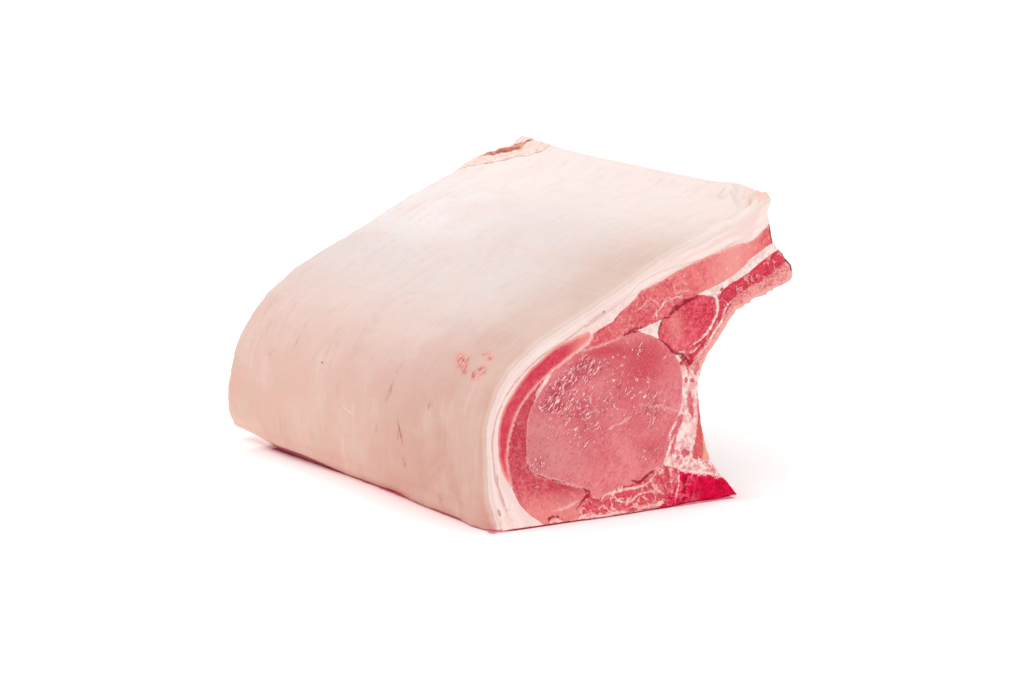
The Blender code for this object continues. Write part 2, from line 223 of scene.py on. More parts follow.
# Lean flesh in the fat beside the backbone.
WALL_LEAN = lines_from("""
    1.5 105.2,52 105.8,46 107,39.5   1.35 102,43.3 99.6,38.5 97.3,33 95.6,25.5   1 94.4,31 93,26 91.6,21.5
    0.9 103.2,58.5 103.4,56.6   1 107.2,58 106.9,55.8   0.9 103.9,66 104.6,61   1.8 109.3,66 108.6,60
    1.3 96.8,26.4 95.6,23.4   1.9 103.7,25.4 102.8,21.6   0.8 99.5,22.5 99.3,20.4
""")
# Islands of lean in the band of fat under the flap.
BAND_LEAN = lines_from("""
    0.8 130.5,101 127.5,99 124.8,97.6   0.5 123.4,98 121.8,97.4   0.9 121.6,95.4 123,92.5
    0.25 116.5,94.6 114.2,94.6
""")
# The thin membrane in the back fat.
MEMBRANE = lines_from("""
    0.1 7.4,6 4.3,15.9 1.1,24.3 -0.5,36.9 0.8,49.2 5,59 9.7,64.9 15,69.2 22,74.5 30,79 38,82.6 45.5,87
        52.5,91 58,93.6
    0.03 8.9,3.5 5.6,10 3.4,17 2.4,25
    0.1 48,87.7 57,92 68.5,98 75,103.2 79,106 88,109 97,110.6 103,111.7 116,113.5 130,120
""")
FAT_SPOTS = lines_from("""
    0.5 57.4,93.4 58.6,93.9   0.45 2,9.5 2.6,8 3.2,6.3
""")

# Marks on the rind: distance round the section from its heel, and distance along the length.
NOTCH = [
    (196.5, 229), (198.5, 226), (200.8, 223), (203.3, 219.5), (206.4, 216.8), (211.3, 215), (214.6, 213.6),
    (218.6, 212), (223.7, 209.5), (227.3, 206), (229.7, 203.2), (234, 200.5),
]
# Folds near the lip, sunk into the rind and painted with shade.
FOLDS = lines_from("""
    0.2 233,39.6 229.7,30.5 226.4,27.8 223.7,17.4 222.2,10.8   0.2 229.7,42 225.6,41 224.2,36
    0.1 229,36 226.4,30.5   0.4 205,10.5 208.8,6.5 213,4.5 217.8,5.3   0.5 233,12 230,6 226,3.6 221,3.2
    0.1 192,9 200,7 206,7.5
""")
RIND_MARKS = {
    "fold": FOLDS,
    "torn": lines_from("""
        2.8 207.5,227 211,226 215,225 219,223.4 223,221.8 227,221 230,220.3 233,219
    """),
    "graze": lines_from("""
        1.1 76.5,41.5 75,38.5 73.5,34.5 71.5,31 69.8,29   0.3 74.5,36.5 71.9,35.8   0.1 76.5,33 74,32
        0.9 70.9,22.5 69,19.5   0.5 73,20.5 74.1,17 72.5,14.5   0.3 71.9,16.5 69.5,15.5   0 81.1,25 82,22
        0.1 80.5,19 79.5,17
    """),
    "smudge": lines_from("""
        1.4 53,45.5 51.9,46 48.9,46.3   0.7 56,81 50.9,82 46.1,84   0.5 21.5,69.5 18,68
        0.9 9.6,41 6.7,39.5 3.8,38   0.5 50.5,196 49,195.5   0 64,80 60,81   0 36.5,138 35,138.5
        0 62,176 55,177   0 33,92 28,93
    """),
    "spot": lines_from("""
        1.1 54.1,147 53.2,147   0.5 52,194 51,194   0.3 6.7,11 6.2,11   0.25 207.5,42 206.9,42
        0.3 206.6,86 206,86   0.25 174,60 173.5,60   0.3 150,130 149.6,130   0.1 187,31 186.6,31
    """),
    "scratch": lines_from("""
        0.6 40,73 36.5,72.2 33.9,71.3 31,70 27.9,69   0.25 52,81 47,82   0.15 34,73.5 29,73
        0.2 21,69 17.5,67.5
    """),
    "pale_scratch": lines_from("""
        0.3 38.1,125 35.9,120 33.9,113
    """),
}


def srgb(red, green, blue):
    """A colour as the eye reads it, 0 to 255, as linear light."""
    parts = [v / 255 for v in (red, green, blue)]
    return tuple(v / 12.92 if v <= 0.04045 else ((v + 0.055) / 1.055) ** 2.4 for v in parts)


# ---------------------------------------------------------------- curves and fields


def noise(x, y, z=0.0, seed=0):
    """Smooth noise from -1 to 1, whose bumps are about one unit across."""
    where = [np.asarray(v, float) for v in np.broadcast_arrays(x, y, z)]
    cell = [np.floor(v).astype(np.int64) for v in where]
    share = [(t := v - c) * t * t * (t * (t * 6 - 15) + 10) for v, c in zip(where, cell)]
    total = 0.0
    for corner in range(8):
        side = [corner & 1, corner >> 1 & 1, corner >> 2 & 1]
        i, j, k = (c + s for c, s in zip(cell, side))
        mixed = (i * 73856093 ^ j * 19349663 ^ k * 83492791 ^ seed * 97531) & 0xFFFFFFFF
        mixed = (mixed ^ mixed >> 13) * 1274126177 & 0xFFFFFFFF
        weight = np.prod([w if s else 1 - w for w, s in zip(share, side)], axis=0)
        total = total + weight * ((mixed ^ mixed >> 16) / 2**31 - 1)
    return total


def ramp(low, high, value):
    """0 below low and 1 above high, with a smooth rise between."""
    t = np.clip((value - low) / (high - low), 0, 1)
    return t * t * (3 - 2 * t)


def fall(low, high, value):
    """1 below low and 0 above high, with a smooth fall between."""
    return 1 - ramp(low, high, value)


def bell(value, width):
    """1 where value is 0, and less and less away from there."""
    return np.exp(-((value / width) ** 2))


def curve(points, step=FINE):
    """The smooth curve through these points, sampled about every step."""
    p = np.array(points, float)
    p = np.vstack([2 * p[0] - p[1], p, 2 * p[-1] - p[-2]])
    parts = []
    for a, b, c, d in zip(p, p[1:], p[2:], p[3:]):
        count = max(1, round(np.linalg.norm(c - b) / step))
        t = (np.arange(count) / count)[:, None]
        bend = (2 * a - 5 * b + 4 * c - d) * t**2 + (3 * b - a - 3 * c + d) * t**3
        parts.append(0.5 * (2 * b + (c - a) * t + bend))
    return np.vstack([*parts, p[-2:-1]])


def lengths(line):
    """How far along the line each of its points lies."""
    return np.concatenate([[0], np.cumsum(np.linalg.norm(np.diff(line, axis=0), axis=1))])


def side_of(line):
    """Unit vectors square to the line, on its left."""
    along = np.gradient(line, axis=0)
    along /= np.linalg.norm(along, axis=1)[:, None]
    return np.column_stack([-along[:, 1], along[:, 0]])


def seam(points):
    """A seam with small natural bends, the same for both tissues that share it. Straight on the table."""
    line = curve(points)
    if max(z for _, z in points) <= 0:
        return line
    at = lengths(line)
    loose = np.clip(np.minimum(at, at[-1] - at) / 3, 0, 1)
    x, z = line.T
    stray = noise(x / 4, z / 4, seed=3) + 0.5 * noise(x / 1.7, z / 1.7, seed=4)
    return line + side_of(line) * (SEAM_WOBBLE * loose * stray)[:, None]


def chain(*lines):
    """Seams laid end to end. One that starts where the last one doesn't end is turned round."""
    line = lines[0] if isinstance(lines[0], np.ndarray) else seam(lines[0])
    for following in lines[1:]:
        following = following if isinstance(following, np.ndarray) else seam(following)
        if np.linalg.norm(following[0] - line[-1]) > np.linalg.norm(following[-1] - line[-1]):
            following = following[::-1]
        line = np.vstack([line, following[1:]])
    return line


def loop(*lines):
    """A closed outline, counterclockwise, from seams that meet end to end."""
    return counterclockwise(chain(*lines)[:-1])


def sampled(line, count):
    """The line as this many points at even distances."""
    at = lengths(line)
    want = np.linspace(0, at[-1], count)
    return np.column_stack([np.interp(want, at, line[:, k]) for k in (0, 1)])


def nearest(points, line):
    """For each point: how far the line is, how far along it the nearest place lies, and its left side."""
    start, step = line[:-1], np.diff(line, axis=0)
    size = np.maximum((step**2).sum(1), 1e-12)
    at = lengths(line)[:-1]
    left = np.column_stack([-step[:, 1], step[:, 0]]) / np.sqrt(size)[:, None]
    results = []
    for part in np.array_split(points, max(1, len(points) * len(start) // 3_000_000)):
        rel = part[:, None] - start
        share = np.clip((rel * step).sum(2) / size, 0, 1)
        gap = np.linalg.norm(rel - share[..., None] * step, axis=2)
        k = gap.argmin(1)
        row = np.arange(len(part))
        results.append((gap[row, k], at[k] + share[row, k] * np.sqrt(size[k]), left[k]))
    return [np.concatenate(column) for column in zip(*results)]


def line_field(points, lines):
    """How far each point is from the nearest of these lines' edges, in millimetres. Below 0 inside one."""
    nearest_yet = np.full(len(points), 9.0)
    for line, half in lines:
        line = curve(line)
        gap, at, _ = nearest(points, line)
        total = lengths(line)[-1]
        taper = np.clip(np.minimum(at, total - at) / (0.25 * total), 0.15, 1)
        nearest_yet = np.minimum(nearest_yet, gap - half * taper)
    return nearest_yet


def inside(points, outline):
    """Which points lie inside a closed outline."""
    a, b = outline, np.roll(outline, -1, axis=0)
    x, z = points[:, 0][:, None], points[:, 1][:, None]
    crosses = (a[:, 1] > z) != (b[:, 1] > z)
    with np.errstate(divide="ignore", invalid="ignore"):
        hit = x < (b[:, 0] - a[:, 0]) * (z - a[:, 1]) / (b[:, 1] - a[:, 1]) + a[:, 0]
    return (crosses & hit).sum(1) % 2 == 1


def filled(outline, spacing):
    """The outline's points and then an even spread of points inside it, with the triangles that join them."""
    low, high = outline.min(0), outline.max(0)
    rows = np.arange(low[1], high[1], spacing * 0.866)
    columns = np.arange(low[0], high[0], spacing)
    x = columns[None, :] + (np.arange(len(rows)) % 2)[:, None] * spacing / 2
    grid = np.column_stack([x.ravel(), np.repeat(rows, len(columns))])
    grid += 0.15 * spacing * np.column_stack([noise(*grid.T, seed=5), noise(*grid.T, seed=6)])
    parts = np.array_split(grid, 1 + len(grid) // 4000)
    grid = np.concatenate([part[inside(part, outline)] for part in parts])
    closed = np.vstack([outline, outline[:1]])
    grid = grid[nearest(grid, closed)[0] > 0.5 * spacing]
    points = np.vstack([outline, grid])
    count = len(outline)
    edges = [(k, (k + 1) % count) for k in range(count)]
    result = delaunay_2d_cdt([Vector(p) for p in points], edges, [list(range(count))], 1, 1e-6)
    triangles = np.array(result[2])
    a, b, c = (points[triangles[:, k]] for k in range(3))
    turned = (b[:, 0] - a[:, 0]) * (c[:, 1] - a[:, 1]) < (b[:, 1] - a[:, 1]) * (c[:, 0] - a[:, 0])
    triangles[turned] = triangles[turned][:, ::-1]
    return points, triangles


# ---------------------------------------------------------------- the section


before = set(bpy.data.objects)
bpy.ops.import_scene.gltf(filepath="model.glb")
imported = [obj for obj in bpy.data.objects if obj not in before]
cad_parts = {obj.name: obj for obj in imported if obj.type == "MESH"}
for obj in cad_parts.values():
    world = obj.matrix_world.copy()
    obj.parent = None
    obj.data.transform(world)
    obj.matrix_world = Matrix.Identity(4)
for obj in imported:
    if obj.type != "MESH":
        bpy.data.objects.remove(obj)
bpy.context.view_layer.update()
# Where the row frame's origin lies in the section's millimetres
SECTION_ORIGIN = np.array([BOTTOM_FOOT[0] + SEAM_GAP / 2, 0, 0]) - np.array(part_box("multifidus")[0]) / MM


def counterclockwise(points):
    following = np.roll(points, -1, axis=0)
    area = np.sum(points[:, 0] * following[:, 1] - following[:, 0] * points[:, 1])
    return points if area > 0 else points[::-1]


def trimmed(points):
    """Which points of the rind's inner curve lie between its two ends."""
    return (points[:, 1] > 0.3) & (points[:, 0] < RIND_CORNER_INSIDE[0] - 0.4)


RIND_INSIDE = chain(RIND_LOW, RIND_HIGH)
RIND_INSIDE = RIND_INSIDE - side_of(RIND_INSIDE) * RIND_THICKNESS
RIND_INSIDE[0], RIND_INSIDE[-1] = RIND_HEEL_INSIDE, RIND_CORNER_INSIDE
between = RIND_INSIDE[1:-1]
RIND_INSIDE = np.vstack([RIND_INSIDE[:1], between[trimmed(between)][::2], RIND_INSIDE[-1:]])
OPEN_SIDE = sampled(curve(RIB_OPEN_SIDE), RIB_SAMPLES)
BED = sampled(curve(RIB_BED), RIB_SAMPLES)
MEAT_SIDE = np.vstack([MEAT_FOOT, OPEN_SIDE * (1 - MEAT_BETWEEN_RIBS) + BED * MEAT_BETWEEN_RIBS, [RIB_END]])
BED_SIDE = np.vstack([RIB_FOOT, BED, [(156.5, 111.8)]])
RIB_OUTLINE = counterclockwise(np.vstack([OPEN_SIDE, [RIB_END], BED[::-1]]))
WALL_INNER = chain(WALL_AT_BAND, EYE_RIGHT, MULTIFIDUS_AT_WALL, WALL_AT_CHINE)
OUTLINE = chain(
    RIND_LOW, RIND_HIGH, RIND_END, FLAP_FAT_END, FLAP_MEAT_END, BAND_END,
    np.vstack([[BAND_FOOT], [RIB_END], OPEN_SIDE[::-1], [CHINE_EDGE]]), CHINE_FACE,
    UNDER_CHINE, UNDER_MULTIFIDUS, UNDER_BOTTOM, UNDER_FAT, UNDER_RIND,
)
LEAN_SEAMS = [
    FAT_OVER_FLAP, FAT_OVER_CAP, CAP_ON_BOTTOM, CAP_UNDER_FLAP, CAP_ON_EYE, EYE_LEFT, EYE_BOTTOM, EYE_RIGHT,
    EYE_AT_SIDE, EYE_AT_FLAP, WEDGE_AT_SIDE, SIDE_AT_FLAP, SIDE_AT_RING, FLAP_AT_BAND, WALL_AT_BAND,
    MULTIFIDUS_AT_BOTTOM, MULTIFIDUS_AT_CHINE, WALL_AT_CHINE, FAT_BESIDE_BOTTOM,
]


class Field:
    """What the section holds at some of its points."""

    def __init__(self, points):
        self.points = points
        self.x, self.z = points.T
        self.free, self.around, _ = nearest(points, OUTLINE)  # distance to the outer faces, and how far round
        self.outward = np.column_stack([np.interp(self.around, *column) for column in OUTWARD])
        self.white = line_field(points, WHITE_LINES)
        self.soft = line_field(points, SOFT_LINES)
        self.red = line_field(points, RED_LINES)
        self.seam = line_field(points, [(line, 0.0) for line in LEAN_SEAMS])
        self.lean = line_field(points, WALL_LEAN + BAND_LEAN)

    def spread(self, source):
        """The field at points picked by number, with repeats."""
        copy = Field.__new__(Field)
        for key, value in vars(self).items():
            setattr(copy, key, value[source])
        return copy


def smoothed_normals():
    """The outline's outward direction, turned gently round corners, as a table for each coordinate."""
    at = lengths(OUTLINE)
    even = sampled(OUTLINE, int(at[-1] / 0.4))
    normal = side_of(even)
    window = np.hanning(15)
    reach = len(window) // 2
    wrapped = np.vstack([normal[-reach - 1:-1], normal, normal[1:reach + 1]])
    columns = [np.convolve(wrapped[:, k], window / window.sum(), mode="valid") for k in (0, 1)]
    where = np.linspace(0, at[-1], len(even))
    return [(where, column) for column in columns]


OUTWARD = smoothed_normals()
CHEST_START, CHEST_END = 264.0, 398.0  # the lining's stretch of the outline, round from the heel


def on_chest(around, soft=4.0):
    """1 on the chest side's stretch of the outline, and 0 elsewhere."""
    return ramp(CHEST_START - soft, CHEST_START, around) * fall(CHEST_END, CHEST_END + soft, around)


def notch_depth(around, y):
    """How far past the rind's cut edge a place at the back corner lies, and below 0 where there's rind."""
    x, edge = np.array(NOTCH, float).T
    ragged = 0.9 * noise(around / 3, y / 3, seed=17) + 0.4 * noise(around / 1.3, y / 1.3, seed=18)
    past = 0.75 * (y - np.interp(around, x, edge)) + ragged
    return np.where((around > NOTCH[0][0] - 1) & (around < 236), past, -9.0)


def skin_swell(around, y):
    """How far the outer faces stand out, in millimetres, apart from the joint's plain shape."""
    swell = 0.45 * noise(around / 38, y / 48, seed=11) + 0.18 * noise(around / 13, y / 15, seed=12)
    swell += 0.05 * noise(around / 40, y / 5, seed=13)
    lip = ramp(214, 228, around) * fall(236, 244, around) * fall(8, 34, y)
    lumps = noise(around / 5, y / 5.5, seed=14) + 0.6 * noise(around / 2.3, y / 2.8, seed=15)
    swell += 0.9 * lip * lumps + 1.6 * lip * fall(4, 14, y)
    past = notch_depth(around, y)
    torn = 0.7 * noise(around / 4, y / 3.5, seed=19) + 0.3 * noise(around / 2, y / 2, seed=20)
    swell += ramp(0.2, 2.5, past) * (torn + 0.2) - 0.6 * bell(past - 0.2, 0.6)
    near_lip = (around > 180) & (y < 60)
    fold = np.full(len(around), 9.0)
    fold[near_lip] = line_field(np.column_stack([around, y])[near_lip], FOLDS)
    swell -= 0.55 * bell(np.maximum(fold, 0), 0.8)
    tip = fall(310, 330, around) * fall(6, 16, y)
    tufts = 0.3 * noise(around / 6, y / 6, seed=16)
    tufts += (0.22 + 0.45 * tip) * noise(around / 1.9, y / 2.4, seed=22)
    return swell + on_chest(around) * tufts


def corner_drop(around, y):
    """How far the rind's far corner sinks between its two ends, in millimetres."""
    return 1.3 * ramp(200, 232, around) * fall(236, 246, around) * ramp(38, 60, y) * fall(160, 210, y)


def underside_gap(x, y):
    """How far the underside stands off the floor, in millimetres. The backbone's edge and a tag touch it."""
    gap = 0.7 * ramp(3, 9, x) + 0.6 * ramp(60, 75, x) + 1.6 * ramp(88, 101, x)
    gap *= 1 - 0.9 * ramp(114.0, 114.8, x)
    tag = bell(x - 100.6, 1.3) * fall(2, 6, y)
    return gap * (1 - 0.9 * tag) + (0.4 + 0.6 * ramp(80, 95, x)) * np.maximum(0, noise(x / 5, y / 9, seed=18))


def heel_reach(y):
    """How far the rind's heel bows out near the front, in millimetres."""
    return 3.6 * ramp(0, 5, y) * fall(55, 88, y) + 1.6 * bell(y - 12, 7)


def foot_reach(x, z):
    """How far the foot of the front cut face stands out, in millimetres."""
    across = [0, 5, 10, 30, 65, 92, 106, 112, 122, 131]
    reach = np.interp(x, across, [1.5, 4.5, 5.2, 5.2, 5.2, 4.8, 1.5, 2, 2.5, 0])
    return reach * np.exp(-np.maximum(z, 0) / 6)


def cut_relief(field, seed):
    """How far a cut face stands out, in millimetres."""
    x, z = field.x, field.z
    relief = 0.7 * noise(x / 32, z / 32, seed=seed) + 0.3 * noise(x / 10, z / 10, seed=seed + 1)
    relief += 0.1 * noise(x / 3, z / 3, seed=seed + 2)
    relief -= 0.08 * bell(field.seam, 0.8)
    relief -= 0.1 * bell(np.maximum(field.red, 0), 0.6)
    return relief + 0.12 * bell(np.maximum(field.white, 0), 0.5)


def shaped(x, z, y):
    """The joint's plain change of shape along its length."""
    t = y / LENGTH
    reach = FLAP_REACH * ramp(0.0, 0.16, t) * np.maximum(x / 150, 0) ** 3 * ramp(98, 135, z)
    low_down = (1 - 0.3 * np.exp(-z / 2)) * np.exp(-((np.maximum(z, 0) / 52) ** 3))
    heel = heel_reach(y) * np.exp(-np.maximum(z, 0) / 7) * np.clip(1 - x / 16, 0, 1.4)
    bulge = BACK_BULGE * t**1.5 * low_down * np.maximum(0, 1 - np.maximum(x, 0) / 60)
    hump_width = np.where(x < 129, 22.0, 17.0)
    hump = CORNER_HUMP * ramp(0.84, 1.0, t) * ramp(60, 110, z) * bell(x - 129, hump_width)
    lift = HEEL_LIFT * ramp(0.7, 1.0, t) * np.maximum(0, 1 - np.maximum(x, 0) / 24) * np.exp(-z / 12)
    lift += HEEL_CURL * ramp(0.8, 1.0, t) * np.clip(1 - x / 14, 0, 1) * np.exp(-np.maximum(z, 0) / 10)
    tuck = HEEL_TUCK * ramp(0.8, 1.0, t) * np.clip(1 - x / 8, 0, 1) * np.exp(-np.maximum(z, 0) / 3.5)
    disc = (1 - np.cos(2 * np.pi * y / RIB_PITCH)) / 2
    waist = DISC_WAIST * disc * ramp(112, 133, x) * fall(8, 13, z)
    return x + reach - bulge - waist - heel + tuck, z + hump + lift


def warp(field, y, relief, stands=0.0):
    """Where points of the section lie in the row frame, in metres. stands is how far each stands out, too."""
    x, z = field.x, field.z
    to_cut = np.minimum(y, LENGTH - y)
    radius = CUT_ROUNDING + (RIND_ROUNDING - CUT_ROUNDING) * fall(228, 240, field.around)
    left = 1 - np.clip(to_cut / radius, 0, 1)
    near_skin = np.exp(-field.free / (1.6 * radius))
    rounding = radius * (1 - np.sqrt(1 - left**2)) * near_skin * (0.1 + 0.9 * ramp(0, 3, z))
    swell = (skin_swell(field.around, y) * ramp(0, 8, z) + stands) * np.exp(-field.free / 4)
    swell -= underside_gap(x, y) * (z <= 0) * ramp(2, 5, x) * fall(128, 133, x)
    out = swell - rounding
    x, z = x + field.outward[:, 0] * out, z + field.outward[:, 1] * out
    z -= corner_drop(field.around, y) * np.exp(-field.free / 6)
    x, z = shaped(x, z, y)
    deep = np.exp(-to_cut / 6)
    place_y = np.where(y < LENGTH / 2, y - (relief + foot_reach(*field.points.T)) * deep, y + relief * deep)
    return (np.column_stack([x, place_y, np.maximum(z, 0)]) - SECTION_ORIGIN) * MM


# ---------------------------------------------------------------- pieces


def stations(start, end, spacing):
    """Distances along the length, close together near a cut face."""
    near = [start + s for s in CUT_STEPS if start + s < (start + end) / 2]
    far = [end - s for s in CUT_STEPS[::-1] if end - s > (start + end) / 2]
    between = np.linspace(near[-1], far[0], max(2, round((far[0] - near[-1]) / spacing)))[1:-1]
    return [start, *near, *between, *far, end]


def placed(name, data):
    """A new object of the scene."""
    obj = bpy.data.objects.new(name, data)
    bpy.context.scene.collection.objects.link(obj)
    return obj


def piece(name, rings, look, attributes, grain=0.0, grain_size=1.2, stands=None, spacing=GRAIN):
    """A closed mesh through rings, capped at both ends. A ring is (distance along the length, outline)."""
    outlines = {id(outline): outline for _, outline in rings}
    caps = {key: filled(outline, spacing) for key, outline in outlines.items()}
    starts, total = {}, 0
    for key, (points, _) in caps.items():
        starts[key] = total
        total += len(points)
    section = Field(np.vstack([points for points, _ in caps.values()]))
    section.own = np.concatenate([
        nearest(points, np.vstack([outlines[key], outlines[key][:1]]))[0] for key, (points, _) in caps.items()
    ])
    size = len(rings[0][1])
    source, y, faces, loops = [], [], [], []
    for k, (at, outline) in enumerate(rings):
        count = len(caps[id(outline)][0]) if k in (0, len(rings) - 1) else size
        loops.append(sum(len(part) for part in source))
        source.append(starts[id(outline)] + np.arange(count))
        y.append(np.full(count, at))
    source, y = np.concatenate(source), np.concatenate(y)
    front, back = caps[id(rings[0][1])][1], caps[id(rings[-1][1])][1]
    faces += front.tolist() + (back[:, ::-1] + loops[-1]).tolist()
    ring = np.arange(size)
    for here, there in zip(loops, loops[1:]):
        n = (ring + 1) % size
        faces += np.column_stack([here + ring, there + ring, there + n, here + n]).tolist()

    x, z = section.x / grain_size, section.z / grain_size
    bumps = noise(x, z, seed=41) + 0.5 * noise(2 * x, 2 * z, seed=42)
    own_relief = grain * bumps * np.clip(section.own / 1.2, 0, 1)
    front_relief, back_relief = cut_relief(section, 21) + own_relief, cut_relief(section, 31) + own_relief
    relief = np.where(y < LENGTH / 2, front_relief[source], back_relief[source])
    field = section.spread(source)
    out = stands(field, y) if stands else 0.0
    mesh = bpy.data.meshes.new(name)
    mesh.from_pydata(warp(field, y, relief, out).tolist(), [], faces)
    for label, rule in attributes.items():
        value = rule(field, y) if callable(rule) else rule
        values = np.broadcast_to(np.asarray(value, np.float32), len(y)).copy()
        mesh.attributes.new(label, "FLOAT", "POINT").data.foreach_set("value", values)
    mesh.shade_smooth()
    mesh.set_sharp_from_angle(angle=math.radians(SHARP_ANGLE))
    mesh.materials.append(look)
    return placed(name, mesh)


def kept(obj, node):
    """The piece rides with the joint and stands for a CAD node."""
    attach(obj, "root")
    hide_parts(node)


LINES = {"white": lambda f, y: f.white, "red": lambda f, y: f.red, "soft": lambda f, y: f.soft}


def fat_side(field, y):
    """How far a point is from the back fat, in millimetres."""
    return line_field(field.points, [(FAT_OVER_FLAP, 0.0), (FAT_OVER_CAP, -0.9)])


def tissue(name, node, slot, look, *seams, spacing=25.0, grain=0.0, grain_size=1.2, **rules):
    """A tissue that runs the whole length between these seams, with rules of its own for its look."""
    outline = loop(*seams)
    rings = [(y, outline) for y in stations(0.0, LENGTH, spacing)]
    plain = {"fat_side": fat_side, "darker": 0.0, "lighter": 0.0, "granular": 1.0, "fatty": 0.0}
    kept(piece(name, rings, look, LINES | plain | rules, grain, grain_size), node)


def lining(field, y):
    """1 on the chest side's own face, and 0 on a cut face."""
    return on_chest(field.around, 1.5) * (field.free < 1.5) * ramp(1.2, 6.0, np.minimum(y, LENGTH - y))


def marked(lines):
    """A rule for how far a place on the rind is from the nearest of these marks."""
    return lambda field, y: line_field(np.column_stack([field.around, y]), lines)


def stained_and_shaded(field, y):
    """1 at the rind's bottom edge, dark red for meat juice and as painted shade in the gap under the curled
    skin, most of all towards the back.
    """
    height = 0.5 + 3.0 * ramp(125, 165, y) * fall(192, 206, y) + 0.4 * noise(y / 9, 0, seed=23)
    return fall(-0.3, 0.5, field.z - height)


def make_rind():
    """The rind, a skin of even thickness over the back fat, with its marks."""
    outline = loop(seam(RIND_LOW), seam(RIND_HIGH), RIND_END, RIND_INSIDE[::-1], UNDER_RIND)
    rings = [(y, outline) for y in stations(0.0, LENGTH, 1.3)]
    rules = {
        "around": lambda f, y: f.around,
        "along": lambda f, y: y,
        "notch": lambda f, y: notch_depth(f.around, y),
        "cut": lambda f, y: f.free + 0.4 * fall(0.2, 2.6, np.minimum(y, LENGTH - y)),
        "lip": lambda f, y: ramp(222, 230, f.around) * fall(6, 34, y),
        "under": stained_and_shaded,
    }
    marks = {name: marked(lines) for name, lines in RIND_MARKS.items()}
    kept(piece("rind", rings, rind_look(), rules | marks, spacing=0.7), "back_fat")


def over_rib(field, y):
    """1 where a rib lies under the lining."""
    across = np.abs((y + RIB_PITCH / 2) % RIB_PITCH - RIB_PITCH / 2)
    return fall(5, 8, across) * ramp(16, 24, field.z)


def bed(field, y):
    """How far inside the split rib a place on the front cut face lies, in millimetres."""
    gap = nearest(field.points, BED)[0]
    depth = np.where(inside(field.points - 0.2 * field.outward, RIB_OUTLINE), gap, -gap)
    return np.where(y < RIB_WIDTH, depth, -9.0)


def sliver(field, y):
    """How far inside the tan sliver on the chest side's lower edge a point lies, in millimetres."""
    x, z = field.x, field.z
    heights = [19, 20.5, 24.3, 30, 38.1, 43, 46, 52]
    start = np.interp(z, heights, [111, 107.3, 107.2, 108.9, 110.2, 110.4, 110.2, 109.8])
    return np.minimum(x - start, np.minimum((z - 18.6) * 1.5, (51 - z) * 0.5))


TAN_EDGE = [15, 22, 30, 40, 50], [110, 112.3, 112.6, 111.5, 110.5]  # z, and the x where the sliver turns tan
CHEST_RULES = LINES | {
    "lining": lining, "over_rib": over_rib, "bed": bed, "sliver": sliver,
    "lean": lambda f, y: f.lean,
    "fatty": lambda f, y: fall(61, 68, f.z),
    "low": lambda f, y: fall(58, 66, f.z),
    "own_rim": lambda f, y: f.free,
    "lumpy": lambda f, y: fall(23, 30, f.z) * ramp(95, 99, f.x),
    "tan": lambda f, y: f.x - np.interp(f.z, *TAN_EDGE),
}


def make_wall(look):
    """The meat and fat of the chest side. Its front cut goes round the split rib."""
    front, back = (counterclockwise(np.vstack([WALL_INNER, side])) for side in (BED_SIDE, MEAT_SIDE))
    rings = [(y, front if y < RIB_WIDTH / 2 - 1 else back) for y in stations(0.0, LENGTH, 2.5)]
    kept(piece("chest_wall", rings, look, CHEST_RULES, 0.12, 1.3), "rib_wall")


def make_ribs(look):
    """The ribs. The front cut splits the first one, which shows its cut face."""
    half = RIB_WIDTH / 2
    for index in range(RIB_COUNT):
        centre = index * RIB_PITCH

        def crown(field, y, centre=centre):
            return 0.5 - 1.9 * np.clip(np.abs(y - centre) / half, 0, 1) ** 4

        split = index == 0
        ys = [0.0, *CUT_STEPS, 4.6, 5.4, 6.0] if split else np.linspace(centre - half, centre + half, 12)
        rings = [(y, RIB_OUTLINE) for y in ys]
        grain, spacing = (0.2, GRAIN) if split else (0.0, 2.5)
        made = piece(f"rib_bone_{index + 1}", rings, look, CHEST_RULES, grain, 0.9, crown, spacing)
        kept(made, f"rib_{index + 1}")


# ---------------------------------------------------------------- materials

SOFT_DEPTH = 1.0  # how far light spreads under the surface, in millimetres
LUMP_SIZE = 3.6  # the lumps of fat and gristle above the backbone
WHITE_FAT = (250, 224, 217)
PINK_FAT = (244, 202, 196)
BLOOD = (154, 0, 36)
PALE_LEAN = (241, 154, 147)


class Value:
    """What a node works out. Sums, differences and products with it are nodes too."""

    def __init__(self, look, socket):
        self.look, self.socket = look, socket

    def __add__(self, other):
        return self.look.math("ADD", self, other)

    def __mul__(self, other):
        return self.look.math("MULTIPLY", self, other)

    def __sub__(self, other):
        return self.look.math("SUBTRACT", self, other)

    def __rsub__(self, other):
        return self.look.math("SUBTRACT", other, self)

    def rise(self, low, high):
        """0 where this is low and 1 where it's high, with a smooth change between."""
        inputs = {"Value": self, "From Min": low, "From Max": high}
        return self.look.node("MapRange", "Result", inputs, interpolation_type="SMOOTHSTEP")

    def fall(self, low, high):
        """1 where this is low and 0 where it's high."""
        return 1.0 - self.rise(low, high)


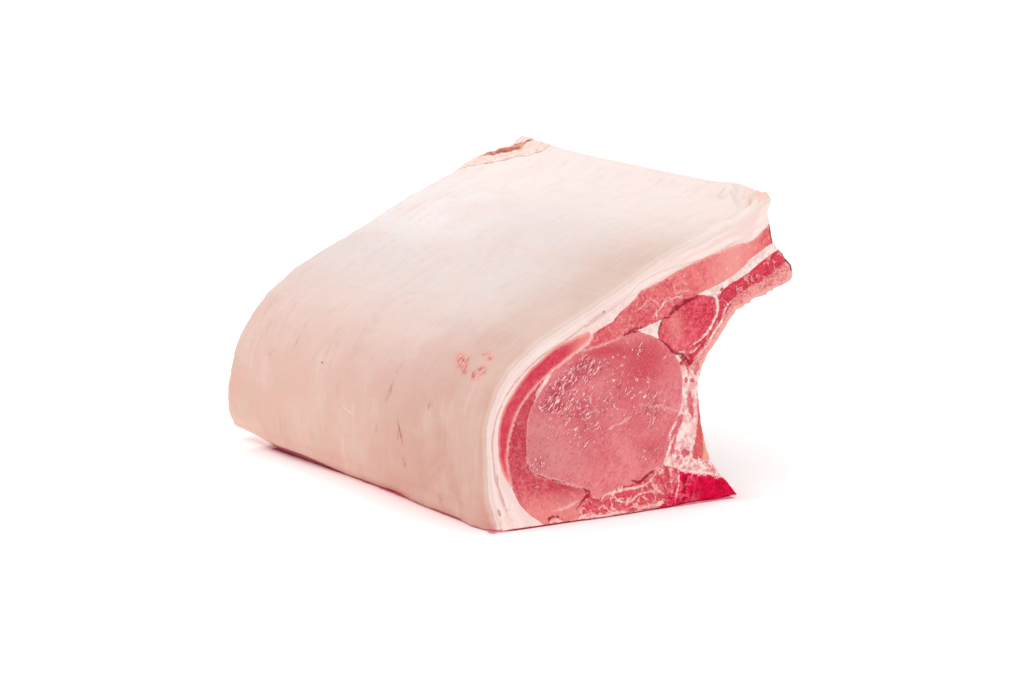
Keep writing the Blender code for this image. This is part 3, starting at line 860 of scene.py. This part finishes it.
class Look:
    """A material as nodes, with sizes in millimetres of the row frame.

    A colour of three numbers is 0 to 255, as the eye reads it. One of four is linear light.
    """

    def __init__(self, name):
        self.material = bpy.data.materials.new(name)
        self.material.use_nodes = True
        tree = self.material.node_tree
        self.nodes, self.links, self.shader = tree.nodes, tree.links, tree.nodes["Principled BSDF"]
        self.place = self.scaled(self.node("TexCoord", "Object"), 1 / MM)

    def __getitem__(self, name):
        """An attribute of the mesh."""
        return self.node("Attribute", "Fac", attribute_name=name)

    def feed(self, inputs, values):
        """Links each input, by name or number, to a node's output, or sets it to a plain value."""
        for key, value in values.items():
            socket = inputs[key]
            if isinstance(value, Value):
                self.links.new(value.socket, socket)
            elif socket.type == "RGBA" and len(value) == 3:
                socket.default_value = (*srgb(*value), 1)
            else:
                socket.default_value = value

    def node(self, kind, output, inputs=None, **settings):
        """The output of a new node."""
        node = self.nodes.new("ShaderNode" + kind)
        for name, value in settings.items():
            setattr(node, name, value)
        self.feed(node.inputs, inputs or {})
        return Value(self, node.outputs[output])

    def math(self, operation, first, second=0.0):
        return self.node("Math", "Value", {0: first, 1: second}, operation=operation)

    def vector(self, operation, first, second):
        return self.node("VectorMath", "Vector", {0: first, 1: second}, operation=operation)

    def scaled(self, vector, scale):
        return self.node("VectorMath", "Vector", {0: vector, "Scale": scale}, operation="SCALE")

    def mix(self, share, first, second):
        """The first colour where share is 0, and the second where it's 1."""
        return self.node("Mix", 2, {"Factor": share, 6: first, 7: second}, data_type="RGBA")

    def paint(self, share, colour):
        """Lays another colour over the look's colour."""
        self.colour = self.mix(share, self.colour, colour)

    def noise(self, size, detail=2.0, bend=0.0, where=None, rough=0.5):
        """Noise whose bumps are this many millimetres across. It averages a half."""
        inputs = {"Vector": where or self.place, "Scale": 1.0 / size, "Detail": detail}
        return self.node("TexNoise", "Fac", inputs | {"Distortion": bend, "Roughness": rough})

    def bent(self, size, amount):
        """The place, moved about by up to this many millimetres in swirls of this size."""
        swirl = self.node("TexNoise", "Color", {"Vector": self.place, "Scale": 1.0 / size})
        offset = self.vector("SUBTRACT", swirl, (0.5, 0.5, 0.5))
        return self.vector("ADD", self.place, self.scaled(offset, 2 * amount))

    def strokes(self, degrees, along, across, where):
        """The place in units of strokes, which lie at this angle from the level on a cut face."""
        turn = (0, -math.radians(degrees), 0)
        inputs = {"Vector": where, "Rotation": turn, "Scale": (along, across, across)}
        return self.node("Mapping", "Vector", inputs, vector_type="TEXTURE")

    def veins(self, size, width, where=None):
        """Thin lines that wander, swell and break off."""
        level = self.math("ABSOLUTE", self.noise(size, 2, 0.3, where) - 0.5)
        swelling = self.noise(size * 0.8, 2, 0.0, where).rise(0.42, 0.66)
        return self.math("DIVIDE", level, swelling * width + 0.0005).fall(0.45, 1.0)

    def finish(self, height, roughness, depth, soft, coat, specular=0.3):
        """Sets the surface: its colour, height in units of depth (in millimetres) and gloss."""
        bump = self.node("Bump", "Normal", {"Distance": depth * MM, "Height": height})
        self.feed(self.shader.inputs, {
            "Base Color": self.colour, "Roughness": roughness, "Normal": bump, "Subsurface Weight": soft,
            "Subsurface Radius": (1.0, 0.35, 0.25), "Subsurface Scale": SOFT_DEPTH * MM,
            "Coat Weight": coat, "Coat Roughness": 0.1, "Specular IOR Level": specular,
        })
        return self.material


def ragged(look, size=1.6):
    """Millimetres, above and below 0, that make an edge ragged."""
    return (look.noise(size, 3, 0.4, rough=0.6) - 0.5) * 4


def draw_lines(look, edge, white=WHITE_FAT, soft=PINK_FAT):
    """Draws the section's soft pale lines, dark creases and white lines over the colour."""
    look.paint((look["soft"] + edge * 0.6).fall(-0.5, 0.8) * 0.8, soft)
    look.paint((look["red"] + edge * 0.5).fall(-0.2, 0.5) * 0.95, BLOOD)
    uneven = look.noise(4, 2, 0.5).rise(0.38, 0.56) * 0.35 + 0.6
    look.paint((look["white"] + edge * 0.6).fall(-0.35, 0.45) * uneven, white)


def painted_glints_and_hollows(look, amount):
    """Painted glints: short bright strokes where wet flesh would glint, and painted shade in the hollows
    beside them. More for a higher amount.
    """
    level = look.noise(1.0, 1.0, 0.1, look.strokes(52, 3.4, 0.5, look.bent(5, 1.0)))
    part = (look.noise(1.9, 2.0, 0.4) - (0.7 - amount * 0.34)).rise(0.0, 0.06)
    return level.rise(0.53, 0.59) * part, level.fall(0.4, 0.48) * part


def flesh(name, deep, pale, veins, specks, glint, size=5.0):
    """Raw lean meat, from its deeper to its paler colour, with fine fat in it."""
    look = Look(name)
    mid, fine = look.noise(2.6, 3, 0.7, rough=0.6), look.noise(1.3, 3, 0.2, rough=0.65)
    tone = look.noise(15) * 0.35 + mid * 0.45 + fine * 0.2
    look.colour = look.mix(tone.rise(0.4, 0.6), deep, pale)
    look.paint(look["darker"] * 0.6, deep)
    look.paint(look["lighter"], PALE_LEAN)
    granular = look["granular"] * specks
    look.paint(fine.fall(0.34, 0.48) * granular * 0.8, deep)
    look.paint(fine.rise(0.52, 0.68) * granular * 0.8, (240, 150, 150))
    look.paint(look.noise(1.1, 2, 0.4).rise(0.62, 0.7) * granular * 0.6, (250, 206, 200))
    look.paint(look.veins(size, 0.05, look.bent(4, 1.0)) * look["granular"] * veins, PINK_FAT)
    edge = ragged(look)
    look.paint((look["fat_side"] + edge).fall(-1.2, 1.8) * 0.6, PINK_FAT)
    fat = look.mix(mid.rise(0.4, 0.6), (240, 204, 198), (246, 220, 214))
    look.paint((look["fatty"] + edge * 0.12).rise(0.3, 0.7), fat)
    draw_lines(look, edge, (249, 214, 208), (240, 186, 180))
    if glint:
        # Painted glints.
        look.paint(painted_glints_and_hollows(look, glint)[0] * 0.5, WHITE_FAT)
    height, rough = mid * 0.6 + fine * 0.4, fine * 0.25 + 0.25
    return look.finish(height, rough, depth=0.25, soft=0.08, coat=0.08, specular=0.14)


def eye_look():
    """The pale eye muscle: fine fibres, painted wet glints and shade in patches, and deeper rose areas."""
    look = Look("eye_flesh")
    mid, dust = look.noise(4, 3, 0.6), look.noise(0.8, 3, rough=0.65)
    fibre = look.noise(1.0, 3, 0.0, look.strokes(40, 3.0, 0.9, look.bent(14, 4.0)), 0.6)
    tone = look.noise(17, 2, 0.3) * 0.45 + mid * 0.3 + fibre * 0.25
    look.colour = look.mix(tone.rise(0.4, 0.6), (218, 108, 115), (230, 134, 137))
    look.paint(look["rose"] * 0.95, (204, 66, 78))
    look.paint(look["grey"] * 0.6, (208, 132, 132))
    # Darker where the glints are painted.
    look.paint(look["wet"].rise(0.1, 1.1) * mid.rise(0.3, 0.5) * 0.85, (190, 64, 80))
    look.paint(fibre.fall(0.36, 0.5) * 0.3, (188, 68, 84))
    look.paint(dust.fall(0.34, 0.46) * 0.16, (184, 66, 82))
    look.paint(dust.rise(0.54, 0.68) * 0.25, (242, 168, 168))
    look.paint(look.noise(1.0, 1.0, 0.5).rise(0.7, 0.76) * 0.3, (250, 200, 198))
    look.paint((look["own_edge"] + ragged(look) * 0.6).fall(0.0, 1.2) * 0.3, (238, 170, 168))
    draw_lines(look, ragged(look), (248, 212, 208), (238, 172, 172))
    glint, hollow_shade = painted_glints_and_hollows(look, look["wet"])
    # Painted shade in the hollows, then painted glints.
    look.paint(hollow_shade * 0.55, (164, 44, 64))
    look.paint(glint * 0.85, (255, 206, 204))
    height = fibre * 0.3 + mid * 0.3 + glint * 0.4
    return look.finish(height, 0.36, depth=0.25, soft=0.06, coat=0.05, specular=0.14)


def fat_look():
    """Back fat in soft layers, with the thin line of a membrane through it."""
    look = Look("back_fat")
    layers = look.node("CombineXYZ", 0, {0: look["around"] * 0.09, 1: look["deep"], 2: look["along"] * 0.09})
    layered, mid, fine = look.noise(2.6, 2, 0.0, layers), look.noise(4, 3, 0.5), look.noise(0.8)
    look.colour = look.mix(layered.rise(0.4, 0.6), (242, 209, 203), (246, 223, 216))
    look.paint((look["deep"] + ragged(look, 3) * 0.4).fall(0.0, 2.4) * 0.3, (242, 196, 188))
    edge = ragged(look)
    look.paint((look["fat_side"] + edge).fall(-0.4, 1.8) * 0.3, (240, 172, 168))
    membrane = (look["membrane"] + edge * 0.2).fall(0.0, 0.75) * mid.rise(0.25, 0.45)
    look.paint(membrane * (0.75 - look["around"].rise(122, 150) * 0.5), (204, 152, 146))
    look.paint((look["spot"] + edge * 0.3).fall(-0.1, 0.4) * 0.7, (178, 116, 98))
    draw_lines(look, edge)
    return look.finish(layered * 0.5 + mid * 0.4 + fine * 0.2, 0.4, depth=0.35, soft=0.2, coat=0.1)


def seam_fat_look():
    """Fat between the muscles, moist and lumpy, with islands of lean, and lean beyond the pale ring."""
    look = Look("seam_fat")
    mid, fine, edge = look.noise(2.8, 3, 0.6), look.noise(0.8, 3, rough=0.65), ragged(look)
    look.colour = look.mix(mid.rise(0.36, 0.56), (236, 194, 188), (246, 222, 216))
    look.paint(look.veins(4.0, 0.06) * 0.15, (226, 130, 138))
    meat = look.mix(mid.rise(0.38, 0.6), (196, 34, 64), (218, 78, 92))
    meat = look.mix(fine.rise(0.54, 0.7) * 0.5, meat, (236, 140, 146))
    island = (look["lean"] + edge * 0.6).fall(-0.2, 0.4)
    look.paint(look.math("MAXIMUM", island, look["meaty"]), meat)
    draw_lines(look, edge)
    return look.finish(mid * 0.7 + fine * 0.3, 0.36, depth=0.35, soft=0.15, coat=0.15, specular=0.25)


def chest_fat(look, mid, fine, edge):
    """The fat at the chest side's foot, with lumps and islands of lean."""
    fat = look.mix(mid.rise(0.38, 0.6), (236, 166, 163), (250, 221, 215))
    fat = look.mix(fine.rise(0.56, 0.7) * 0.4, fat, (228, 128, 132))
    inputs = {"Vector": look.bent(3, 1.2), "Scale": 1 / LUMP_SIZE}
    cells = look.node("TexVoronoi", "Distance", inputs, feature="DISTANCE_TO_EDGE")
    lumps = look.mix(mid.rise(0.4, 0.6), (222, 104, 112), (240, 172, 160))
    fat = look.mix(cells.rise(0.06, 0.2) * look["lumpy"] * 0.8, fat, lumps)
    rosy = look.mix(fine.rise(0.36, 0.64), (196, 44, 70), (226, 108, 118))
    return look.mix((look["lean"] + edge * 0.8).fall(-0.3, 0.6) * 0.9, fat, rosy)


def lining_colour(look):
    """The shiny lining over the chest side: pink meat under a pale film."""
    broad, mid = look.noise(11, 3, 0.4), look.noise(3.5, 3, 0.5)
    meat = look.mix(broad.rise(0.4, 0.6), (200, 70, 84), (228, 122, 124))
    meat = look.mix(mid.rise(0.42, 0.64) * 0.5, meat, (240, 184, 176))
    meat = look.mix(look.veins(9, 0.06, look.bent(8, 2)) * 0.7, meat, (250, 222, 212))
    bone = look.mix(mid.rise(0.38, 0.62), (234, 178, 166), (248, 218, 204))
    bone = look.mix(look.veins(7, 0.05) * 0.6, bone, (206, 88, 96))
    return look.mix((look["over_rib"] + mid * 0.4).rise(0.5, 0.9), meat, bone)


def chest_look():
    """The chest side's cut face and lining, for the wall and the split rib, so that they run together."""
    look = Look("chest_side")
    edge, mid, fine = ragged(look, 1.7), look.noise(3.0, 3, 0.6), look.noise(0.8, 3, 0.3, rough=0.7)
    lean = look.mix(mid.rise(0.38, 0.6), (190, 16, 48), (216, 50, 76))
    lean = look.mix(fine.rise(0.54, 0.68) * 0.4, lean, (234, 120, 130))
    lean = look.mix(look.veins(5, 0.05, look.bent(4, 1.2)) * 0.4, lean, PINK_FAT)
    fatty = (look["fatty"] + edge * 0.12).rise(0.35, 0.65)
    look.colour = look.mix(fatty, lean, chest_fat(look, mid, fine, edge))
    marrow = look.mix((fine * 0.7 + mid * 0.3).rise(0.4, 0.6), (216, 90, 98), (242, 172, 164))
    marrow = look.mix((look["own_rim"] + edge).fall(0.3, 3.2) * 0.65, marrow, (242, 178, 168))
    look.paint((look["bed"] + edge * 0.8).rise(-0.5, 0.5) * (1.0 - look["low"]), marrow)
    tan = look.mix((look["tan"] + edge * 0.6).rise(0.0, 2.0), (214, 78, 84), (238, 156, 136))
    tan = look.mix(fine.rise(0.5, 0.7) * 0.5, tan, (246, 194, 176))
    look.paint((look["sliver"] + edge * 0.5).rise(-0.3, 0.5), tan)
    draw_lines(look, edge)
    look.paint(look["lining"], lining_colour(look))
    rough = look.mix(look["lining"], (0.38, 0.38, 0.38, 1), (0.26, 0.26, 0.26, 1))
    return look.finish(mid * 0.6 + fine * 0.4, rough, depth=0.35, soft=0.08, coat=0.15, specular=0.2)


def chine_look():
    """The cut backbone: bright crimson marrow, with a mesh of pinker bone over part of it."""
    look = Look("chine_bone")
    mid, fine, edge = look.noise(2.2, 3, 0.6), look.noise(0.8, 3, 0.3, rough=0.7), ragged(look, 2.0)
    look.colour = look.mix(mid.rise(0.38, 0.6), (192, 4, 42), (234, 10, 78))
    look.paint(fine.rise(0.54, 0.7) * 0.4, (246, 50, 100))
    netted = look["netted"]
    look.paint(look.noise(2.6, 2, 0.8).fall(0.36, 0.46) * netted * 0.8, (128, 0, 26))
    patches = look.noise(3.4, 3, 1.0).rise(0.5, 0.56)
    net = look.math("MAXIMUM", patches, look.veins(4.5, 0.09, look.bent(3, 1.5)))
    look.paint(net * netted * 0.75, (236, 104, 130))
    fat = look.mix(fine.rise(0.4, 0.6), (232, 120, 134), (246, 190, 188))
    look.paint((look["fat_above"] + edge * 2.6).fall(-0.4, 0.5), fat)
    draw_lines(look, edge, (250, 200, 198))
    return look.finish(mid * 0.5 + fine * 0.5, 0.45, depth=0.5, soft=0.0, coat=0.0, specular=0.04)


def strip_look():
    """The marbled strip under the eye muscle."""
    look = Look("marbled_strip")
    mid, fine, edge = look.noise(3.4, 3, 0.8), look.noise(0.9, 3, 0.3, rough=0.65), ragged(look)
    look.colour = look.mix(mid.rise(0.4, 0.6), (200, 53, 73), (226, 106, 112))
    look.paint(fine.rise(0.54, 0.68) * 0.4, (244, 184, 178))
    lean = look.mix(fine.rise(0.36, 0.64), (204, 46, 70), (224, 92, 102))
    look.paint((look["strip_lean"] + edge).fall(-0.4, 0.6), lean)
    look.paint(look.veins(4.6, 0.08, look.bent(5, 1.8)) * 0.7, (245, 200, 194))
    draw_lines(look, edge, (247, 210, 203))
    return look.finish(mid * 0.7 + fine * 0.3, 0.34, depth=0.45, soft=0.08, coat=0.15, specular=0.2)


def skin(look, around, along, broad, mid, fine, flat):
    """The rind's colours: deeper and streaked low down, paler above and towards the chest side, partly as
    painted light from above, with a painted highlight and painted sheen on fine streaks at the top.
    """
    streaks = look.noise(4.6, 3, 0.6, flat, 0.55)
    low = look.mix(along.rise(15, 170), (210, 154, 137), (226, 177, 161))
    high = look.mix(along.rise(5, 85), (214, 183, 171), (227, 211, 207))
    # A painted highlight on the top.
    high = look.mix(along.rise(95, 200) * around.rise(122, 160) * 0.85, high, (243, 233, 232))
    # Paler upward: partly the skin's own tone, partly painted light from above.
    upward = (around + broad * 30.0).rise(35, 145)
    look.colour = look.mix(upward, low, high)
    look.paint(broad.rise(0.42, 0.66) * 0.3, (232, 200, 188))
    # Paler still towards the chest side at the top: partly the skin's tone, partly painted light.
    look.paint((around + mid * 30.0).rise(172, 232) * 0.8, (246, 228, 222))
    look.paint(look.noise(13, 3, 0.6).rise(0.48, 0.7) * (0.4 - upward * 0.32), (214, 184, 160))
    calm = 1.0 - upward * 0.55
    look.paint(streaks.rise(0.5, 0.72) * mid.rise(0.38, 0.66) * 0.26 * calm, (204, 134, 122))
    look.paint(streaks.fall(0.3, 0.46) * broad.rise(0.4, 0.6) * 0.16 * calm, (246, 226, 218))
    hairs = look.noise(1.9, 3, 0.15, look.vector("MULTIPLY", flat, (0.5, 1.0, 1.0)), 0.6)
    # Pale streaks of fine hairs on the top, lit there as painted sheen.
    hairs_and_sheen = hairs.rise(0.5, 0.7) * look.noise(22, 3, 0.5).rise(0.45, 0.62)
    look.paint(hairs_and_sheen * upward * 0.22, (244, 238, 238))
    look.paint(hairs.fall(0.34, 0.48) * mid.rise(0.4, 0.6) * 0.2, (204, 160, 148))
    look.paint(fine.rise(0.56, 0.76) * 0.14, (186, 128, 116))
    return streaks


def rind_marks(look, mid, flat):
    """The graze, the smudges, the spots and the scratches, and the warmer lip."""
    tear = look.noise(1.3, 3, 0.3, look.vector("MULTIPLY", flat, (2.4, 1.3, 1.0)), 0.65)
    glow = look["graze"].fall(-1.0, 4.2)
    look.paint(glow * tear.rise(0.36, 0.56) * 0.7, (232, 116, 106))
    look.paint(glow * tear.rise(0.56, 0.64) * 0.8, (248, 214, 200))
    look.paint(look["graze"].fall(-0.4, 1.6) * tear.fall(0.43, 0.5) * 0.9, (134, 28, 34))
    look.paint(look["smudge"].fall(-1.0, 1.6) * tear.rise(0.4, 0.6) * 0.8, (176, 92, 78))
    look.paint(look["spot"].fall(-0.3, 0.5) * 0.8, (132, 86, 76))
    look.paint(look["scratch"].fall(-0.3, 0.6) * 0.8, (176, 74, 70))
    look.paint(look["pale_scratch"].fall(-0.1, 0.35) * 0.6, (252, 226, 216))
    look.paint(look["lip"] * mid.rise(0.4, 0.62) * 0.7, (240, 186, 166))


def rind_edges(look, around, mid, flat):
    """The rind's cut edges and folds, with painted shade in the folds, the torn notch at the far corner, and
    the bottom edge, stained with juice and darkened with painted shade.
    """
    cut, past = look["cut"], look["notch"]
    rim = look.mix((cut + ragged(look) * 0.15).rise(0.7, 1.3), (240, 224, 214), (241, 214, 206))
    look.paint(cut.rise(0.1, 0.9) * (1.0 - around.rise(190, 222) * 0.75), rim)
    # Painted shade in the folds.
    look.paint((look["fold"] + ragged(look) * 0.3).fall(-0.4, 1.6) * 0.32, (222, 184, 166))
    shred = look.noise(2.4, 4, 0.7, look.vector("MULTIPLY", flat, (2.6, 1.2, 1.0)), 0.6)
    fat = look.mix(shred.rise(0.4, 0.62), (240, 204, 192), (250, 230, 220))
    red = look.mix(shred.rise(0.42, 0.58), (176, 78, 58), (234, 158, 130))
    torn = look.mix((look["torn"] + ragged(look) * 0.7).fall(-0.4, 1.0), fat, red)
    look.paint(past.rise(-0.1, 0.4), torn)
    skin_edge = past.rise(-0.5, 0.0) * past.fall(0.2, 0.8) * mid.rise(0.28, 0.46)
    layer = past.rise(2.4, 2.8) * past.fall(2.9, 3.3) * mid.rise(0.45, 0.55) * 0.6
    look.paint(look.math("MAXIMUM", skin_edge, layer) * 0.65, (176, 104, 92))
    # The bottom edge: dark red for juice and as painted shade in the gap beneath it.
    look.paint(look["under"], (150, 36, 50))


def rind_look():
    """Pig skin: pale cream-pink with faint streaks round the body, fine pores, grazes and a few marks."""
    look = Look("rind")
    around, along = look["around"], look["along"]
    flat = look.node("CombineXYZ", 0, {0: around * 0.16, 1: along})
    broad, mid, fine = look.noise(30, 3, 0.3), look.noise(6, 3, 0.3), look.noise(0.8, 3, rough=0.6)
    streaks = skin(look, around, along, broad, mid, fine, flat)
    rind_marks(look, mid, flat)
    rind_edges(look, around, mid, flat)
    height, rough = streaks * 0.16 + fine * 0.3 + mid * 0.3, mid * 0.2 + fine * 0.15 + 0.26
    return look.finish(height, rough, depth=0.25, soft=0.2, coat=0.1, specular=0.4)


# ---------------------------------------------------------------- stage


def floor_look():
    """A white floor, tinged red round the joint for juice and as painted reflection and shadow. It glows
    there with painted light, faintly, and more under its heel.
    """
    look = Look("floor")
    low, high = (tuple(np.array([*corner, 0]) - SECTION_ORIGIN) for corner in (FOOT_LOW, FOOT_HIGH))
    x, y = (look.node("SeparateXYZ", axis, {0: look.place}) for axis in "XY")
    place = look.vector("ADD", look.place, look.scaled((1, 0, 0), y.rise(-5, 100) * FOOT_BULGE))
    beyond = look.vector("MAXIMUM", look.vector("SUBTRACT", low, place), look.vector("SUBTRACT", place, high))
    beyond = look.vector("MULTIPLY", look.vector("MAXIMUM", beyond, (0, 0, 0)), (1, 2.5, 0))
    away = look.node("VectorMath", "Value", {0: beyond}, operation="LENGTH")
    tinge_distance = away + look.noise(9, 3, 0.5) * 3.0
    # Dark red right at the joint's edge, a painted red shadow in the gaps under it; pale pink further out,
    # for juice and a painted reflection.
    red_tint = look.mix(tinge_distance.fall(1.5, 2.5), (0.94, 0.82, 0.82, 1), (0.72, 0.2, 0.24, 1))
    colour = look.mix(tinge_distance.fall(1.0, TINGE_REACH + 1.5), (0.94, 0.94, 0.94, 1), red_tint)
    # The glow is painted light: red near and under the joint, and white under the heel, where it lightens the
    # shadow.
    glow = look.mix(away.rise(0.5, 5), UNDER_GLOW, NEAR_GLOW)
    glow = look.mix(away.rise(2, GLOW_RISE), glow, FLOOR_GLOW)
    heel = y.rise(88, 96) * y.fall(122, 140) * x.rise(-102, -88) * x.fall(-66, -46)
    look.feed(look.shader.inputs, {
        "Base Color": colour, "Roughness": 0.7, "Specular IOR Level": 0.1,
        "Emission Color": look.mix(heel, glow, HEEL_GLOW), "Emission Strength": 1.0,
    })
    return look.material


def make_stage():
    """A white floor, tinged and glowing with painted light round the joint, under soft white light from all
    sides, and a little more from above.
    """
    mesh = bpy.data.meshes.new("floor")
    half = 15.0
    corners = [(-half, -half, 0), (half, -half, 0), (half, half, 0), (-half, half, 0)]
    mesh.from_pydata(corners, [], [(0, 1, 2, 3)])
    mesh.materials.append(floor_look())
    placed("floor", mesh)
    world = bpy.data.worlds.new("studio")
    world.use_nodes = True
    world.node_tree.nodes["Background"].inputs["Color"].default_value = (1, 1, 1, 1)
    world.node_tree.nodes["Background"].inputs["Strength"].default_value = WORLD_LIGHT
    bpy.context.scene.world = world
    light = bpy.data.lights.new("overhead", "SUN")
    light.energy = TOP_LIGHT
    light.angle = math.radians(70)
    placed("overhead", light).rotation_euler = (math.radians(18), 0, math.radians(-35))


def make_camera():
    """The camera at the photograph's angle."""
    data = bpy.data.cameras.new("camera")
    data.lens = CAMERA_LENS
    data.sensor_width = 36.0
    data.clip_end = 100.0
    camera = placed("camera", data)
    camera.location = (np.array(CAMERA_PLACE) - SECTION_ORIGIN) * MM
    camera.rotation_euler = (math.radians(90 - CAMERA_DOWN), 0, math.radians(CAMERA_AZIMUTH))
    bpy.context.scene.camera = camera
    bpy.context.scene.view_settings.view_transform = "Standard"


# ---------------------------------------------------------------- the joint

# Patches of the section: x and z of the centre, half size across and up, strength.
# Patches where glints are painted on the eye muscle.
WET_GLINT_ZONES = [
    (49.5, 68.5, 9, 6, 1.2), (38, 63, 7, 4.5, 1.0), (32, 59.5, 6, 3, 0.8), (31, 53.5, 9, 3, 0.9),
    (85, 47, 8, 11, 0.75), (78, 75, 4, 5, 0.6), (68, 72, 8, 5, 0.5), (47, 50, 18, 7, 0.7),
    (54, 38, 20, 8, 0.5), (68, 58, 13, 8, 0.5), (24, 27, 6, 5, 0.7), (85, 25, 8, 6, 0.45),
]
ROSE_ZONES = [
    (80, 63, 14, 7, 0.9), (84, 73, 9, 6, 0.7), (58, 76, 14, 4, 1.0), (72, 72, 9, 5, 0.4),
    (88, 30, 10, 8, 0.3),
]
GREY_ZONES = [(25, 38, 12, 22, 1.0), (40, 27, 14, 9, 0.7)]
PALE_ZONES = [(97, 84, 5, 6, 0.6), (98, 75, 5, 4, 0.3)]
STRIP_LEAN = lines_from("""
    1.8 58,3.6 61.5,6.3 67,7.6 73.5,7.8 79,6 83,6   0.9 74,13.6 79,12.6 83,15   1.4 45,4.2 49,4.8 53,3
    1.1 90,14 93,11   0.9 65,3.4 71,3.8 79,3.4
""")


def zones(patches):
    """A rule for how much a point belongs to these soft round patches of the section."""
    def rule(field, y):
        return sum(
            strength * np.exp(-(((field.points - (x, z)) / (across, up)) ** 2).sum(1))
            for x, z, across, up, strength in patches
        )

    return rule


def drawn(lines):
    """A rule for how far a point of the section is from the nearest of these lines."""
    return lambda f, y: line_field(f.points, lines)


def netted(field, y):
    """Where a mesh of bone shows in the backbone: its upper and inner part."""
    x, z = field.x, field.z
    return np.clip(1.0 - ramp(104, 115, x + 0.3 * z) + 0.5 * ramp(9, 13, z) * fall(112, 120, x), 0, 1)


def make_tissues():
    """The tissues between the rind and the chest side."""
    tissue(
        "fat_layer", "back_fat", "rind", fat_look(), RIND_INSIDE, FLAP_FAT_END, FAT_OVER_FLAP, FAT_OVER_CAP,
        FAT_BESIDE_BOTTOM, UNDER_FAT, spacing=3.0,
        around=lambda f, y: f.around,
        along=lambda f, y: y,
        deep=lambda f, y: nearest(f.points, RIND_INSIDE)[0],
        membrane=drawn(MEMBRANE),
        spot=drawn(FAT_SPOTS),
    )
    tissue(
        "cap_flesh", "cap_muscle", "dark_lean",
        flesh("cap_flesh", (206, 50, 74), (226, 98, 106), veins=0.05, specks=0.2, glint=0.0),
        FAT_OVER_CAP, CAP_ON_BOTTOM, CAP_ON_EYE, CAP_UNDER_FLAP, grain=0.04,
        granular=0.5,
        darker=lambda f, y: ramp(1.2, 2.6, f.own),
        lighter=lambda f, y: 0.8 * fall(0.4, 1.7, f.own) + 0.7 * ramp(36, 50, f.x),
        fatty=lambda f, y: ramp(0.6, 1.4, 0.8 * (f.x - 49.8) + 0.6 * (f.z - 84.2)),
    )
    tissue(
        "bottom_flesh", "bottom_muscle", "lean",
        flesh("bottom_flesh", (190, 50, 68), (222, 98, 106), veins=0.12, specks=0.2, glint=0.12),
        CAP_ON_BOTTOM, FAT_BESIDE_BOTTOM, UNDER_BOTTOM, MULTIFIDUS_AT_BOTTOM, EYE_LEFT,
        spacing=4.0, grain=0.1,
        darker=lambda f, y: ramp(16, 40, f.z),
        lighter=lambda f, y: 0.6 * fall(6, 18, f.z),
    )
    wet = zones(WET_GLINT_ZONES)
    tissue(
        "eye_flesh", "loin_eye", "pale_lean", eye_look(), EYE_LEFT, EYE_BOTTOM, EYE_RIGHT, EYE_AT_RING,
        EYE_AT_SIDE, EYE_AT_WEDGE, EYE_AT_FLAP, CAP_ON_EYE, grain=0.07,
        wet=lambda f, y: np.clip(wet(f, y), 0, 1),
        rose=zones(ROSE_ZONES),
        grey=zones(GREY_ZONES),
        own_edge=lambda f, y: f.own,
    )
    tissue(
        "flap_flesh", "flap_muscle", "lean",
        flesh("flap_flesh", (208, 72, 84), (234, 120, 118), veins=0.25, specks=0.35, glint=0.25, size=4.5),
        FAT_OVER_FLAP, CAP_UNDER_FLAP, EYE_AT_FLAP, WEDGE_AT_FLAP, SIDE_AT_FLAP, FLAP_AT_BAND, FLAP_MEAT_END,
        spacing=2.5, grain=0.08,
        granular=lambda f, y: 1 - 0.8 * ramp(92, 112, f.x),
        darker=lambda f, y: 0.65 * fall(78, 104, f.x),
        lighter=lambda f, y: 0.85 * ramp(104, 130, f.x) * (1 - 0.85 * ramp(129, 145, f.x)),
        fatty=lambda f, y: ramp(-0.2, 0.8, f.z - np.interp(f.x, *FLAP_START)),
    )
    tissue(
        "side_flesh", "side_muscle", "dark_lean",
        flesh("side_flesh", (202, 36, 62), (230, 88, 102), veins=0.1, specks=0.35, glint=0.15),
        SIDE_AT_FLAP, SIDE_AT_RING, EYE_AT_SIDE, WEDGE_AT_SIDE, grain=0.12,
        lighter=zones(PALE_ZONES),
    )
    fat = {"lean": lambda f, y: f.lean, "meaty": lambda f, y: fall(94.5, 96.5, f.z) * ramp(99, 104, f.x)}
    tissue(
        "wedge_fat", "fat_wedge", "fat", seam_fat_look(), EYE_AT_WEDGE, WEDGE_AT_FLAP, WEDGE_AT_SIDE, **fat,
    )
    tissue(
        "band_fat", "inner_fat", "fat", seam_fat_look(), FLAP_AT_BAND, BAND_END, WALL_AT_BAND, EYE_AT_RING,
        SIDE_AT_RING, spacing=2.5, grain=0.1, **fat,
    )
    tissue(
        "strip_flesh", "multifidus", "lean", strip_look(),
        EYE_BOTTOM, MULTIFIDUS_AT_WALL, MULTIFIDUS_AT_CHINE, UNDER_MULTIFIDUS, MULTIFIDUS_AT_BOTTOM,
        spacing=4.0, grain=0.2, grain_size=1.8,
        strip_lean=drawn(STRIP_LEAN),
    )
    tissue(
        "chine", "chine_bone", "marrow", chine_look(), WALL_AT_CHINE, CHINE_FACE, UNDER_CHINE,
        MULTIFIDUS_AT_CHINE, spacing=2.5, grain=0.35, grain_size=1.1,
        netted=netted,
        fat_above=drawn([(WALL_AT_CHINE, 0.0)]),
    )


make_rind()
make_tissues()
CHEST_LOOK = chest_look()
make_wall(CHEST_LOOK)
make_ribs(CHEST_LOOK)
make_stage()
make_camera()
